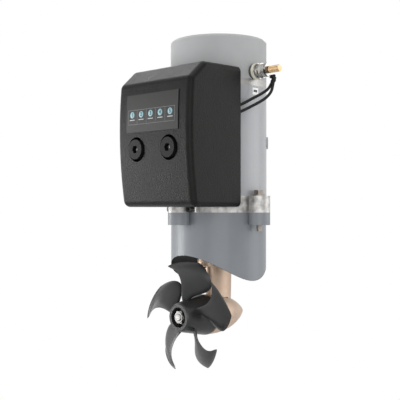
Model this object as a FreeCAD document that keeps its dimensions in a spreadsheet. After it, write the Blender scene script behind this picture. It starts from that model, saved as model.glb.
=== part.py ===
"""Bow thruster for a 125 mm tunnel: an electric motor on a saddle outside the tunnel wall, and
a gear leg with a five-bladed propeller inside it.

Lengths are millimetres. The origin is where the drive shaft's axis crosses the propeller
shaft's axis, on the centreline of the tunnel. Places are given as side, ahead and height:
side is +X, the side of the battery stud; ahead is -Y, the way the propeller faces; height is +Z.
"""

import FreeCAD
import Part
import Sketcher
import math
import os
import re
from FreeCAD import Placement, Rotation, Vector

DIMENSIONS = {
    # tunnel and saddle
    "tunnel_bore": 125.0,
    "tunnel_wall": 5.0,
    "saddle_floor": 8.0,
    "seat_height": 115.3,
    "bracket_dia": 109.0,
    "bracket_wall": 6.0,
    # bolted joint between the bracket and the motor
    "ear_circle": 125.0,
    "ear_dia": 24.0,
    "lug_drop": 13.7,
    "flange_height": 18.3,
    "flange_floor": 7.5,
    "spigot_depth": 3.0,
    "bolt_dia": 6.0,
    "bolt_across": 10.0,
    "bolt_head": 4.5,
    "bolt_collar_dia": 12.5,
    "bolt_collar": 1.8,
    "bolt_end": 6.8,
    "blind_floor": 4.0,
    # motor casing
    "motor_dia": 110.0,
    "yoke_wall": 6.0,
    "yoke_height": 122.4,
    "ring_height": 7.0,
    "cap_height": 48.0,
    "cap_wall": 4.0,
    "cap_crown": 6.0,
    "cap_edge": 2.5,
    # field
    "pole_height": 70.0,
    "pole_foot": 26.4,
    "pole_face": 4.0,
    "pole_neck_width": 30.0,
    "pole_face_width": 44.0,
    "coil_width": 12.0,
    "coil_gap": 0.4,
    "air_gap": 0.6,
    "pole_screw_dia": 8.0,
    "pole_screw_head_dia": 14.0,
    "pole_screw_head": 1.6,
    "screw_clear": 0.2,
    # armature
    "core_dia": 73.0,
    "slot_width": 3.0,
    "slot_depth": 9.0,
    "winding_overhang": 12.0,
    "core_shaft_dia": 20.0,
    "commutator_dia": 40.0,
    "commutator_length": 29.0,
    "commutator_rise": 21.0,
    "brush_width": 8.0,
    "brush_tall": 12.0,
    "brush_length": 16.0,
    "brush_gap": 0.15,
    "holder_wall": 1.5,
    "holder_plate": 2.5,
    "holder_rise": 0.4,
    # motor bearings, 6202 below and 6001 above
    "lower_bearing_outer": 35.0,
    "lower_bearing_bore": 15.0,
    "lower_bearing_width": 11.0,
    "upper_bearing_outer": 28.0,
    "upper_bearing_bore": 12.0,
    "upper_bearing_width": 8.0,
    "tie_bolt_dia": 5.0,
    "tie_bolt_circle": 91.0,
    "tie_bolt_across": 8.0,
    "tie_bolt_head": 3.5,
    # battery stud
    "stud_dia": 8.0,
    "stud_reach": 92.4,
    "stud_core_dia": 7.2,
    "stud_relief": 0.6,
    "stud_play": 0.4,
    "stud_rise": 8.0,
    "stud_across": 13.0,
    "stud_nut": 6.5,
    "insulator_dia": 18.2,
    "insulator_flange": 6.5,
    "gasket_dia": 17.0,
    "gasket": 3.0,
    "stud_washer_dia": 17.0,
    "stud_washer": 1.6,
    "terminal_thickness": 1.0,
    "terminal_dia": 14.0,
    "tongue_width": 3.6,
    "sleeve_length": 5.0,
    "lead_dia": 3.2,
    # control box
    "box_width": 116.0,
    "box_back": 25.0,
    "box_reach": 102.0,
    "box_curve": 500.0,
    "curve_rise": 85.5,
    "box_rise": 6.0,
    "box_height": 152.8,
    "shoulder_drop": 18.4,
    "box_shoulder_back": 20.2,
    "box_wall": 3.0,
    "box_crease": 8.0,
    "box_edge": 6.0,
    "box_motor_gap": 0.8,
    "base_wall": 3.0,
    "fit_gap": 0.2,
    "panel_width": 83.0,
    "panel_gap": 5.0,
    "panel_height": 41.0,
    "panel_thickness": 0.8,
    "pocket_dia": 27.0,
    "pocket_depth": 9.0,
    "pocket_spread": 52.0,
    "pocket_rise": 62.7,
    "knob_dia": 21.5,
    "knob_height": 12.0,
    "knob_socket": 8.0,
    "knob_socket_depth": 4.0,
    "knob_shank": 8.0,
    "screw_reach": 22.0,
    "pillar_dia": 16.0,
    "post_dia": 6.0,
    # bracket between the flange and the control box
    "base_screw_spread": 31.4,
    "base_screw_rise": 3.7,
    "base_screw_dia": 4.0,
    "base_screw_head_dia": 7.0,
    "base_screw_head": 4.0,
    "base_plate": 2.0,
    "base_pad_reach": 57.0,
    # reversing contactors and control board
    "contactor_dia": 32.0,
    "contactor_height": 48.0,
    "contactor_gap": 2.5,
    "contactor_ahead": 79.0,
    "contactor_spread": 62.0,
    "contactor_wall": 2.0,
    "plunger_dia": 14.0,
    "plunger_travel": 2.5,
    "terminal_spread": 14.0,
    "terminal_screw_dia": 6.0,
    "terminal_screw_reach": 11.0,
    "bus_width": 12.0,
    "bus_thickness": 2.0,
    "board_width": 88.0,
    "board_height": 25.0,
    "board_gap": 2.0,
    "board_ahead": 68.0,
    "board_thickness": 1.6,
    # gear leg
    "pod_dia": 45.0,
    "pod_nose": 41.0,
    "pod_mouth": 20.0,
    "pod_shoulder": 15.0,
    "pod_bore": 38.0,
    "column_chord": 38.0,
    "column_thickness": 20.0,
    "column_taper": 2.6,
    "leg_flange_length": 58.0,
    "leg_flange_width": 38.0,
    "leg_flange_thickness": 7.0,
    "neck_dia": 34.0,
    "neck_top": 78.0,
    "neck_gap": 0.3,
    "leg_bolt_spread": 49.0,
    "leg_bolt_depth": 6.0,
    "leg_bearing_outer": 26.0,
    "leg_bearing_bore": 10.0,
    "leg_bearing_width": 8.0,
    "leg_bearing_foot": 61.0,
    "leg_seal_width": 6.0,
    "needle_outer": 14.0,
    "needle_foot": 25.0,
    "needle_width": 12.0,
    "drive_shaft_dia": 10.0,
    "shaft_gap": 0.05,
    # bevel gears
    "gear_module": 1.75,
    "pinion_teeth": 12,
    "gear_teeth": 18,
    "gear_face": 6.5,
    "gear_backlash": 0.30,
    "gear_hub_back": 17.0,
    "gear_hub_dia": 20.0,
    "pinion_hub_top": 23.5,
    "pinion_hub_dia": 12.4,
    # propeller shaft
    "propeller_shaft_dia": 12.0,
    "propeller_bearing_outer": 28.0,
    "propeller_bearing_width": 8.0,
    "propeller_bearing_back": 17.6,
    "propeller_seal_width": 5.0,
    "carrier_lip": 2.4,
    "carrier_barrel_dia": 32.6,
    "carrier_reach": 34.0,
    "nose_bush_outer": 16.0,
    "nose_bush_length": 10.0,
    "nose_bush_back": 24.0,
    # propeller
    "propeller_dia": 121.0,
    "hub_back": 23.4,
    "hub_back_dia": 45.5,
    "hub_front": 63.5,
    "hub_front_dia": 30.2,
    "hub_recess_dia": 22.2,
    "hub_web_back": 37.5,
    "hub_web_front": 54.0,
    "hub_hollow_dia": 36.0,
    "pin_dia": 4.0,
    "pin_length": 26.0,
    "nut_reach": 63.2,
    "shaft_reach": 64.6,
    "washer_thickness": 1.6,
    "blade_count": 5,
    "blade_pitch": 140.0,
    "blade_root": 4.6,
    "blade_tip": 1.3,
    # coupling
    "coupling_dia": 36.0,
    "coupling_hub_dia": 20.0,
    "coupling_plate": 6.0,
    "coupling_foot": 82.0,
    "coupling_gap": 9.0,
    "jaw_width": 7.0,
    "jaw_clear": 1.0,
}

DOC = FreeCAD.newDocument("BowThruster")
SIZES = DOC.addObject("Spreadsheet::Sheet", "Sizes")
for row, (alias, number) in enumerate(DIMENSIONS.items(), start=1):
    SIZES.set(f"A{row}", alias)
    SIZES.set(f"B{row}", str(number))
    SIZES.setAlias(f"B{row}", alias)
DOC.recompute()

PIECES = []
WORD = re.compile(r"[a-z][a-z_]+")
UP = Rotation()
AHEAD = Rotation(Vector(1, 0, 0), 90)
SIDEWAYS = Rotation(Vector(0, 1, 0), 90)
POLE_ANGLES = (-45, 45, 135, 225)

# Heights and sizes that follow from the sheet
tunnel_outer = "(tunnel_bore + 2 * tunnel_wall)"
yoke_foot = "(seat_height + flange_height)"
ring_foot = "(seat_height + flange_height + yoke_height)"
cap_foot = f"({ring_foot} + ring_height)"
cap_top = f"({cap_foot} + cap_height)"
yoke_bore = "(motor_dia - 2 * yoke_wall)"
bracket_bore = "(bracket_dia - 2 * bracket_wall)"
base_screw_height = "(seat_height + base_screw_rise)"
box_foot = "(seat_height + box_rise)"
box_head = f"({box_foot} + box_height)"
box_shoulder = f"({box_head} - shoulder_drop)"
box_curve_height = f"({box_foot} + curve_rise)"
pocket_height = f"({box_foot} + pocket_rise)"
panel_foot = f"({pocket_height} + pocket_dia / 2 + panel_gap)"
panel_head = f"({panel_foot} + panel_height)"
contactor_foot = f"({pocket_height} + pocket_dia / 2 + box_wall + contactor_gap)"
board_foot = f"({pocket_height} - pillar_dia / 2 - board_gap - board_height)"
core_foot = f"({yoke_foot} + pole_foot)"
core_top = f"({core_foot} + pole_height)"
pole_middle = f"({core_foot} + pole_height / 2)"
commutator_foot = f"({core_top} + commutator_rise)"
lower_bearing_foot = "(seat_height + 2.7)"
upper_bearing_top = f"({cap_top} - cap_crown - 1)"
stud_height = f"({cap_foot} + stud_rise)"
base_screw_sides = ("-base_screw_spread / 2", "base_screw_spread / 2")
coupling_top = "(coupling_foot + 2 * coupling_plate + coupling_gap)"


def linked(text):
    """The expression with every alias written as a reference to its cell."""
    return WORD.sub(lambda word: f"Sizes.{word[0]}" if word[0] in DIMENSIONS else word[0], str(text))


def value(text):
    """The number that an expression of the sheet's aliases comes to."""
    return float(SIZES.evalExpression(linked(text)))


def bind(item, field, text):
    """Ties one property of an object to the sheet."""
    item.setExpression(field, linked(text))


def keep(item, label):
    """Names a finished sub-part and puts it on the list of pieces."""
    item.Label = label
    PIECES.append(item)
    return item


def place(item, spot, turn=UP):
    """Puts an object at a side, ahead and height, turned from +Z."""
    side, ahead, height = spot
    item.Placement = Placement(Vector(0, 0, 0), turn)
    bind(item, "Placement.Base.x", side)
    bind(item, "Placement.Base.y", f"-({ahead})")
    bind(item, "Placement.Base.z", height)
    return item


# Primitives and booleans


def rod(dia, spot, length, turn=UP):
    """A cylinder from a spot along its axis."""
    item = DOC.addObject("Part::Cylinder", "rod")
    bind(item, "Radius", f"({dia}) / 2")
    bind(item, "Height", length)
    return place(item, spot, turn)


def hexagon(across, spot, length, turn=UP):
    """A hexagonal bar given by the distance across its flats."""
    item = DOC.addObject("Part::Prism", "hexagon")
    item.Polygon = 6
    bind(item, "Circumradius", f"({across}) / sqrt(3)")
    bind(item, "Height", length)
    return place(item, spot, turn)


def block(sides, aheads, heights):
    """A box between two sides, two distances ahead and two heights."""
    item = DOC.addObject("Part::Box", "block")
    bind(item, "Length", f"({sides[1]}) - ({sides[0]})")
    bind(item, "Width", f"({aheads[1]}) - ({aheads[0]})")
    bind(item, "Height", f"({heights[1]}) - ({heights[0]})")
    return place(item, (sides[0], aheads[1], heights[0]))


def fuse(*shapes):
    """One solid of several that touch."""
    item = DOC.addObject("Part::MultiFuse", "fusion")
    item.Shapes = list(shapes)
    item.Refine = True
    return item


def group(*shapes):
    """Separate solids kept together."""
    item = DOC.addObject("Part::Compound", "group")
    item.Links = list(shapes)
    return item


def cut(base, *tools):
    """The base with every tool taken out of it."""
    item = DOC.addObject("Part::Cut", "cut")
    item.Base = base
    item.Tool = fuse(*tools) if len(tools) > 1 else tools[0]
    item.Refine = True
    return item


def common(base, tool):
    """What two solids share."""
    item = DOC.addObject("Part::Common", "common")
    item.Base = base
    item.Tool = tool
    return item


def turned_about_z(source, degrees):
    """A copy of a solid, turned about the motor's axis."""
    item = DOC.addObject("App::Link", "turned")
    item.LinkedObject = source
    item.LinkTransform = True
    item.Placement = Placement(Vector(0, 0, 0), Rotation(Vector(0, 0, 1), degrees))
    return item


# Sketched features


def plane_of(body, role):
    """One of the origin planes of a body."""
    return next(feature for feature in body.Origin.OriginFeatures if feature.Role == role)


def new_sketch(body, plane, offset="0"):
    """An empty sketch on an origin plane of its body, moved along the plane's normal."""
    sketch = body.newObject("Sketcher::SketchObject", "outline")
    sketch.AttachmentSupport = [(plane_of(body, plane), "")]
    sketch.MapMode = "FlatFace"
    bind(sketch, "AttachmentOffset.Base.z", offset)
    return sketch


def pin_point(sketch, edge, end, across, up):
    """Dimensions one point of a sketch from the sketch's origin."""
    for kind, axis, text in (("DistanceX", -2, across), ("DistanceY", -1, up)):
        if text == "0":
            sketch.addConstraint(Sketcher.Constraint("PointOnObject", edge, end, axis))
            continue
        index = sketch.addConstraint(Sketcher.Constraint(kind, -1, 1, edge, end, value(text)))
        sketch.setExpression(f"Constraints[{index}]", linked(text))


def outline(body, plane, corners, offset="0"):
    """A closed outline of straight edges, every corner tied to the sheet."""
    sketch = new_sketch(body, plane, offset)
    spots = [Vector(value(across), value(up), 0) for across, up in corners]
    edges = [Part.LineSegment(a, b) for a, b in zip(spots, spots[1:] + spots[:1])]
    sketch.addGeometry(edges, False)
    last = len(edges) - 1
    joints = [Sketcher.Constraint("Coincident", i - 1 if i else last, 2, i, 1) for i in range(len(edges))]
    sketch.addConstraint(joints)
    for edge, (across, up) in enumerate(corners):
        pin_point(sketch, edge, 1, across, up)
    return sketch


def new_body():
    """An empty PartDesign body that may hold separate solids."""
    body = DOC.addObject("PartDesign::Body", "body")
    body.AllowCompound = True
    return body


def revolve(body, sketch, axis):
    """Turns a sketch fully round one of its own axes."""
    feature = body.newObject("PartDesign::Revolution", "turning")
    feature.Profile = sketch
    feature.ReferenceAxis = (sketch, [axis])
    feature.Angle = 360
    return feature


def turned(corners, turn=UP):
    """A body turned about Z from corners of radius and height, or about another axis by its placement."""
    body = new_body()
    revolve(body, outline(body, "XZ_Plane", corners), "V_Axis")
    body.Placement = Placement(Vector(0, 0, 0), turn)
    return body


def ring(inner_dia, outer_dia, foot, top, turn=UP):
    """A plain ring between two distances along its axis."""
    inner = f"({inner_dia}) / 2"
    outer = f"({outer_dia}) / 2"
    return turned([(inner, foot), (outer, foot), (outer, top), (inner, top)], turn)


def padded(corners, plane, start, end):
    """A body padded from one offset of an origin plane to another."""
    body = new_body()
    sketch = outline(body, plane, corners, start)
    feature = body.newObject("PartDesign::Pad", "pad")
    feature.Profile = sketch
    bind(feature, "Length", f"({end}) - ({start})")
    return body


def rounded(body, radius, chosen):
    """Fillets the edges of a body's tip that a test picks out."""
    DOC.recompute()
    tip = body.Tip
    names = [f"Edge{i}" for i, edge in enumerate(tip.Shape.Edges, start=1) if chosen(edge)]
    feature = body.newObject("PartDesign::Fillet", "rounding")
    feature.Base = (tip, names)
    bind(feature, "Radius", radius)
    return body


# Bracket, flange and motor casing

# Side and ahead of each ear, and how far its bolt reaches below the lug
ear_spots = [
    ("ear_circle / 2", "0", "bolt_end"),
    ("-ear_circle / 2", "0", "bolt_end"),
    ("0", "-ear_circle / 2", "bolt_end"),
    ("0", "ear_circle / 2", "-blind_floor"),
]


def make_motor_bracket():
    """The hollow casting that sits astride the tunnel and carries the motor."""
    skirt = rod("bracket_dia", ("0", "0", "0"), "seat_height")
    lugs = [rod("ear_dia", (x, y, "seat_height - lug_drop"), "lug_drop") for x, y, _ in ear_spots]
    tunnel = rod(tunnel_outer, ("0", "-bracket_dia", "0"), "2 * bracket_dia", AHEAD)
    floor = rod(f"{tunnel_outer} + 2 * saddle_floor", ("0", "-bracket_dia", "0"), "2 * bracket_dia", AHEAD)
    well = rod(bracket_bore, ("0", "0", "1"), "seat_height")
    neck = rod("neck_dia + 2 * neck_gap", ("0", "0", "saddle_floor"), "seat_height - 2 * saddle_floor")
    holes = [
        rod("bolt_dia", (x, y, f"seat_height - lug_drop - ({end}) - 1"), f"lug_drop + ({end}) + 2")
        for x, y, end in ear_spots
    ]
    leg_holes = []
    for sign in ("-", ""):
        ahead = f"{sign}leg_bolt_spread / 2"
        leg_holes.append(rod("bolt_dia + 0.6", ("0", ahead, "tunnel_bore / 4"), "seat_height / 2"))
        seat = f"{tunnel_outer} / 2 + saddle_floor - 0.8"
        leg_holes.append(rod("bolt_collar_dia + 2", ("0", ahead, seat), "saddle_floor"))
    casting = cut(fuse(skirt, *lugs), tunnel, cut(well, floor), neck, *holes, *leg_holes)
    return keep(casting, "motor_bracket")


def make_motor_flange():
    """The motor's cast lower end shield, with the bearing seat and the four bolt ears."""
    rim = "motor_dia / 2"
    spigot = f"{bracket_bore} / 2"
    seat = "lower_bearing_outer / 2"
    shield = turned(
        [
            ("lower_bearing_bore / 2 + 1.5", "seat_height - spigot_depth"),
            (f"{spigot}", "seat_height - spigot_depth"),
            (f"{spigot}", "seat_height"),
            (rim, "seat_height"),
            (rim, yoke_foot),
            (f"{yoke_bore} / 2", yoke_foot),
            (f"{yoke_bore} / 2", f"{yoke_foot} + spigot_depth"),
            (f"{yoke_bore} / 2 - 4", f"{yoke_foot} + spigot_depth"),
            (f"{yoke_bore} / 2 - 6", "seat_height + flange_floor"),
            (f"{seat} + 6", "seat_height + flange_floor"),
            (f"{seat} + 4.5", f"{lower_bearing_foot} + lower_bearing_width"),
            (seat, f"{lower_bearing_foot} + lower_bearing_width"),
            (seat, lower_bearing_foot),
            ("lower_bearing_bore / 2 + 1.5", lower_bearing_foot),
        ]
    )
    ears = [rod("ear_dia", (x, y, "seat_height"), "flange_height") for x, y, _ in ear_spots]
    pads = [
        block((f"{side} - 5", f"{side} + 5"), ("45", "base_pad_reach"), ("seat_height", "seat_height + 7.4"))
        for side in base_screw_sides
    ]
    holes = [rod("bolt_dia + 0.5", (x, y, "seat_height - 1"), "flange_height + 2") for x, y, _ in ear_spots]
    taps = [
        rod("base_screw_dia", (side, "base_pad_reach - 9", base_screw_height), "12", AHEAD)
        for side in base_screw_sides
    ]
    rods = [
        rod(
            "tie_bolt_dia",
            ("0", f"{sign}tie_bolt_circle / 2", "seat_height"),
            "flange_height + spigot_depth",
        )
        for sign in ("-", "")
    ]
    casting = cut(fuse(shield, *ears, *pads), *holes, *taps, *rods)
    return keep(casting, "motor_flange")


def make_motor_bolts():
    """Four flanged hexagon bolts through the ears into the tapped lugs, the front lug's hole blind."""
    bolts = []
    for x, y, end in ear_spots:
        shank = f"(flange_height + lug_drop + ({end}))"
        foot = rod("bolt_dia", (x, y, f"{yoke_foot} - {shank}"), f"{shank} + 1")
        collar = rod("bolt_collar_dia", (x, y, yoke_foot), "bolt_collar")
        head = hexagon("bolt_across", (x, y, f"{yoke_foot} + bolt_collar"), "bolt_head")
        bolts.append(fuse(foot, collar, head))
    return keep(group(*bolts), "motor_bolts")


def make_motor_yoke():
    """The steel tube that carries the field, with its pole screw holes."""
    tube = ring(yoke_bore, "motor_dia", yoke_foot, ring_foot)
    hole = rod("pole_screw_dia + 2 * screw_clear", ("core_dia / 2", "0", pole_middle), "motor_dia", SIDEWAYS)
    return keep(cut(tube, *on_poles(hole)), "motor_yoke")


def on_poles(shape):
    """Four of a solid made along +X, one on the axis of each pole."""
    return [turned_about_z(shape, angle) for angle in POLE_ANGLES]


def pole_set(shape, label):
    """Keeps four of a solid made along +X as one group."""
    return keep(group(*on_poles(shape)), label)


def make_pole_shoes():
    """Four laminated poles: a neck against the yoke and a wider face by the armature."""
    face = "core_dia / 2 + air_gap"
    neck = f"{yoke_bore} / 2"
    heights = (core_foot, core_top)
    stem = block((face, neck), ("-pole_neck_width / 2", "pole_neck_width / 2"), heights)
    shoe = block(
        (f"{face} - 9", f"{face} + pole_face"), ("-pole_face_width / 2", "pole_face_width / 2"), heights
    )
    bore = rod(f"2 * ({face})", ("0", "0", core_foot), "pole_height")
    shell = rod(yoke_bore, ("0", "0", core_foot), "pole_height")
    tap = rod("pole_screw_dia", (f"{face} + pole_face", "0", pole_middle), "motor_dia / 4", SIDEWAYS)
    body = common(cut(fuse(stem, shoe), bore, tap), shell)
    return pole_set(body, "pole_shoes")


def make_field_coils():
    """Four flat field coils, one round each pole's neck."""
    start = "core_dia / 2 + air_gap + pole_face + coil_gap"
    half = "pole_neck_width / 2"
    outer = block(
        (start, "motor_dia / 2"),
        (f"-{half} - coil_width", f"{half} + coil_width"),
        (f"{core_foot} - coil_width", f"{core_top} + coil_width"),
    )
    inner = block(
        (f"{start} - 1", "motor_dia / 2 + 1"),
        (f"-{half} - coil_gap", f"{half} + coil_gap"),
        (f"{core_foot} - coil_gap", f"{core_top} + coil_gap"),
    )
    length = "yoke_height"
    bore = rod(f"2 * ({start})", ("0", "0", yoke_foot), length)
    shell = rod(f"{yoke_bore} - 2 * coil_gap", ("0", "0", yoke_foot), length)
    return pole_set(common(cut(outer, inner, bore), shell), "field_coils")


def make_pole_screws():
    """Four screws that pull the poles against the yoke, their low heads outside."""
    start = "core_dia / 2 + air_gap + pole_face + 1"
    skin = "motor_dia / 2"
    shank = rod("pole_screw_dia", (start, "0", pole_middle), f"{skin} + 0.5 - ({start})", SIDEWAYS)
    head = rod("pole_screw_head_dia", (f"{skin} - 1", "0", pole_middle), "pole_screw_head + 1", SIDEWAYS)
    slot = block(
        (f"{skin} + pole_screw_head - 1", "motor_dia"),
        ("-0.8", "0.8"),
        (f"{pole_middle} - pole_screw_head_dia", f"{pole_middle} + pole_screw_head_dia"),
    )
    yoke = ring(yoke_bore, "motor_dia", core_foot, core_top)
    return pole_set(cut(fuse(shank, cut(head, yoke)), slot), "pole_screws")


def make_end_cap_ring():
    """The bare machined ring between the yoke and the end cap."""
    band = ring("motor_dia - 2 * cap_wall", "motor_dia", ring_foot, cap_foot)
    return keep(band, "end_cap_ring")


def make_motor_end_cap():
    """The end cap over the commutator, with the upper bearing's seat in its crown."""
    skin = "motor_dia / 2"
    wall = "motor_dia / 2 - cap_wall"
    seat = "upper_bearing_outer / 2"
    cap = turned(
        [
            ("0", cap_top),
            (f"{skin} - cap_edge", cap_top),
            (skin, f"{cap_top} - cap_edge"),
            (skin, cap_foot),
            (wall, cap_foot),
            (wall, f"{cap_top} - cap_crown"),
            (f"{seat} + 5", f"{cap_top} - cap_crown"),
            (f"{seat} + 3.5", f"{upper_bearing_top} - upper_bearing_width - 1"),
            (seat, f"{upper_bearing_top} - upper_bearing_width - 1"),
            (seat, upper_bearing_top),
            ("0", upper_bearing_top),
        ]
    )
    stud = rod("stud_dia + 5", ("motor_dia / 4", "0", stud_height), "motor_dia / 2", SIDEWAYS)
    bosses = []
    wells = []
    for sign in ("-", ""):
        ahead = f"{sign}tie_bolt_circle / 2"
        bosses.append(rod("tie_bolt_across + 7", ("0", ahead, f"{cap_top} - 14"), "13"))
        wells.append(rod("tie_bolt_dia + 0.6", ("0", ahead, f"{cap_top} - 15"), "16"))
        wells.append(
            rod("tie_bolt_across + 3", ("0", ahead, f"{cap_top} - tie_bolt_head - 1"), "tie_bolt_head + 2")
        )
    skirt = rod("motor_dia - 2 * cap_edge", ("0", "0", cap_foot), "cap_height")
    solid = fuse(cap, common(fuse(*bosses), skirt))
    return keep(cut(solid, stud, *wells), "motor_end_cap")


def make_tie_bolts():
    """Two long bolts that clamp end cap, ring and yoke to the flange."""
    bolts = []
    foot = "seat_height + 2"
    seat = f"{cap_top} - tie_bolt_head - 1"
    for sign in ("-", ""):
        ahead = f"{sign}tie_bolt_circle / 2"
        shank = rod("tie_bolt_dia", ("0", ahead, foot), f"{seat} - ({foot})")
        head = hexagon("tie_bolt_across", ("0", ahead, seat), "tie_bolt_head")
        bolts.append(fuse(shank, head))
    return keep(group(*bolts), "tie_bolts")


def bearing(bore, outer, foot, width, turn, label):
    """A deep-groove ball bearing as one ring, its two shields set back from the faces."""
    inner = f"({bore}) / 2"
    rim = f"({outer}) / 2"
    inner_land = f"({inner}) + ({rim} - {inner}) / 4"
    outer_land = f"({rim}) - ({rim} - {inner}) / 4"
    top = f"({foot}) + ({width})"
    corners = [
        (inner, foot),
        (inner_land, foot),
        (inner_land, f"({foot}) + 0.6"),
        (outer_land, f"({foot}) + 0.6"),
        (outer_land, foot),
        (rim, foot),
        (rim, top),
        (outer_land, top),
        (outer_land, f"{top} - 0.6"),
        (inner_land, f"{top} - 0.6"),
        (inner_land, top),
        (inner, top),
    ]
    return keep(turned(corners, turn), label)


# Armature and brush gear


def make_armature_shaft():
    """The motor's stepped shaft, from the coupling to the upper bearing."""
    lower = "lower_bearing_bore / 2 - shaft_gap"
    upper = "upper_bearing_bore / 2 - shaft_gap"
    step = f"{lower_bearing_foot} + lower_bearing_width"
    foot = "coupling_foot + coupling_plate + coupling_gap - 1"
    shaft = turned(
        [
            ("0", foot),
            (upper, foot),
            (upper, f"{lower_bearing_foot} - 3"),
            (lower, f"{lower_bearing_foot} - 3"),
            (lower, f"{step} + 0.5"),
            ("core_shaft_dia / 2", f"{step} + 0.5"),
            ("core_shaft_dia / 2", f"{commutator_foot} + commutator_length"),
            (upper, f"{commutator_foot} + commutator_length"),
            (upper, f"{upper_bearing_top} - 0.5"),
            ("0", f"{upper_bearing_top} - 0.5"),
        ]
    )
    return keep(shaft, "armature_shaft")


def slot_bars(count, width, depth, foot, top):
    """Bars in the slots of the armature, from the slot's floor to just under its mouth."""
    radius = "core_dia / 2"
    first = block((f"{radius} - slot_depth", f"{radius} - slot_depth + ({depth})"),
                  (f"-({width}) / 2", f"({width}) / 2"), (foot, top))
    return [turned_about_z(first, 360.0 / count * i) for i in range(count)]


def make_armature_core():
    """The laminated core with its open slots."""
    core = ring("core_shaft_dia", "core_dia", core_foot, core_top)
    slots = slot_bars(16, "slot_width", "slot_depth + 1", f"{core_foot} - 1", f"{core_top} + 1")
    return keep(cut(core, *slots), "armature_core")


def make_armature_windings():
    """The copper winding: bars in the slots and an overhang at each end of the core."""
    inner = "core_shaft_dia + 10"
    outer = "core_dia - 4"
    bars = slot_bars(16, "slot_width", "slot_depth - 2", f"{core_foot} - 2", f"{core_top} + 2")
    low = ring(inner, outer, f"{core_foot} - winding_overhang", core_foot)
    high = ring(inner, outer, core_top, f"{core_top} + winding_overhang")
    return keep(fuse(low, high, *bars), "armature_windings")


def make_commutator():
    """The commutator, its riser towards the windings and its slots between the bars."""
    face = "commutator_dia / 2"
    body = turned(
        [
            ("core_shaft_dia / 2", f"{core_top} + winding_overhang"),
            (f"{face} + 3", f"{core_top} + winding_overhang"),
            (f"{face} + 3", commutator_foot),
            (face, commutator_foot),
            (face, f"{commutator_foot} + commutator_length"),
            ("core_shaft_dia / 2", f"{commutator_foot} + commutator_length"),
        ]
    )
    groove = block((f"{face} - 1", f"{face} + 4"), ("-0.4", "0.4"),
                   (core_top, f"{commutator_foot} + commutator_length + 1"))
    grooves = [turned_about_z(groove, 360.0 / 16 * i) for i in range(16)]
    return keep(cut(body, *grooves), "commutator")


brush_foot = f"({cap_foot} + holder_rise + holder_plate + holder_wall)"
brush_start = "(commutator_dia / 2 + brush_gap)"
brush_end = f"({brush_start} + brush_length)"
holder_end = f"({brush_end} + 6)"


def make_brush_holder():
    """The insulating plate with four brush boxes."""
    plate = ring("commutator_dia + 8", "motor_dia - 2 * cap_wall", f"{cap_foot} + holder_rise",
                 f"{cap_foot} + holder_rise + holder_plate")
    half = "(brush_width / 2 + 0.1)"
    case = block(
        (f"{brush_start} + 4", f"{holder_end} + holder_wall"),
        (f"-{half} - holder_wall", f"{half} + holder_wall"),
        (f"{brush_foot} - holder_wall - 0.5", f"{brush_foot} + brush_tall + 0.1 + holder_wall"),
    )
    channel = block(
        (f"{brush_start} + 2", holder_end),
        (f"-{half}", half),
        (brush_foot, f"{brush_foot} + brush_tall + 0.1"),
    )
    relief = rod("stud_across + 12", ("motor_dia / 4 + 12", "0", stud_height), "motor_dia / 2", SIDEWAYS)
    ways = [
        rod("tie_bolt_dia + 2", ("0", f"{sign}tie_bolt_circle / 2", ring_foot), "cap_height")
        for sign in ("-", "")
    ]
    return keep(cut(fuse(plate, *on_poles(case)), relief, *on_poles(channel), *ways), "brush_holder")


def make_brushes():
    """Four carbon brushes, their faces hollowed to the commutator."""
    stick = block((f"{brush_start} - 2", brush_end), ("-brush_width / 2", "brush_width / 2"),
                  (brush_foot, f"{brush_foot} + brush_tall"))
    face = rod(f"2 * {brush_start}", ("0", "0", ring_foot), "cap_height")
    return pole_set(cut(stick, face), "brushes")


def make_brush_springs():
    """Four folded leaf springs behind the brushes."""
    strip = "0.7"
    points = [
        (brush_end, "-3"), (f"{brush_end} + {strip}", "-3"), (f"{brush_end} + {strip}", "2"),
        (f"{holder_end} - {strip}", "-3"), (holder_end, "-3"), (holder_end, "3"),
        (f"{holder_end} - {strip}", "3"), (f"{holder_end} - {strip}", "-1.6"),
        (f"{brush_end} + {strip}", "3.4"), (brush_end, "3.4"),
    ]
    leaf = padded(points, "XY_Plane", f"{brush_foot} + 2", f"{brush_foot} + brush_tall - 2")
    return pole_set(leaf, "brush_springs")


# Battery stud

insulator_face = "(motor_dia / 2 + insulator_flange)"
stud_nut_foot = f"({insulator_face} + 3 * stud_washer + 1.4)"
terminal_foot = f"({stud_nut_foot} + stud_nut)"
outer_washer_foot = f"({terminal_foot} + 2 * terminal_thickness)"
stud_free_foot = f"({outer_washer_foot} + stud_washer + stud_relief)"
stud_way = "(stud_dia + stud_play)"


def make_stud_insulator():
    """The flanged bush that carries the stud through the end cap."""
    back = "motor_dia / 2 + gasket"
    flange = rod("insulator_dia", (back, "0", stud_height), "insulator_flange - gasket", SIDEWAYS)
    inside = "motor_dia / 2 - cap_wall - 1"
    sleeve = rod("stud_dia + 5", (inside, "0", stud_height), f"{insulator_face} - ({inside})", SIDEWAYS)
    bore = rod(stud_way, (f"{inside} - 1", "0", stud_height), "motor_dia / 4", SIDEWAYS)
    return keep(cut(fuse(flange, sleeve), bore), "stud_insulator")


def make_stud_gasket():
    """The rubber gasket between the insulator's flange and the round end cap."""
    disc = rod("gasket_dia", ("motor_dia / 2 - 4", "0", stud_height), "gasket + 4", SIDEWAYS)
    casing = rod("motor_dia", ("0", "0", ring_foot), "cap_height")
    hole = rod("stud_dia + 5", ("motor_dia / 2 - 5", "0", stud_height), "gasket + 6", SIDEWAYS)
    return keep(cut(disc, casing, hole), "stud_gasket")


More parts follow.
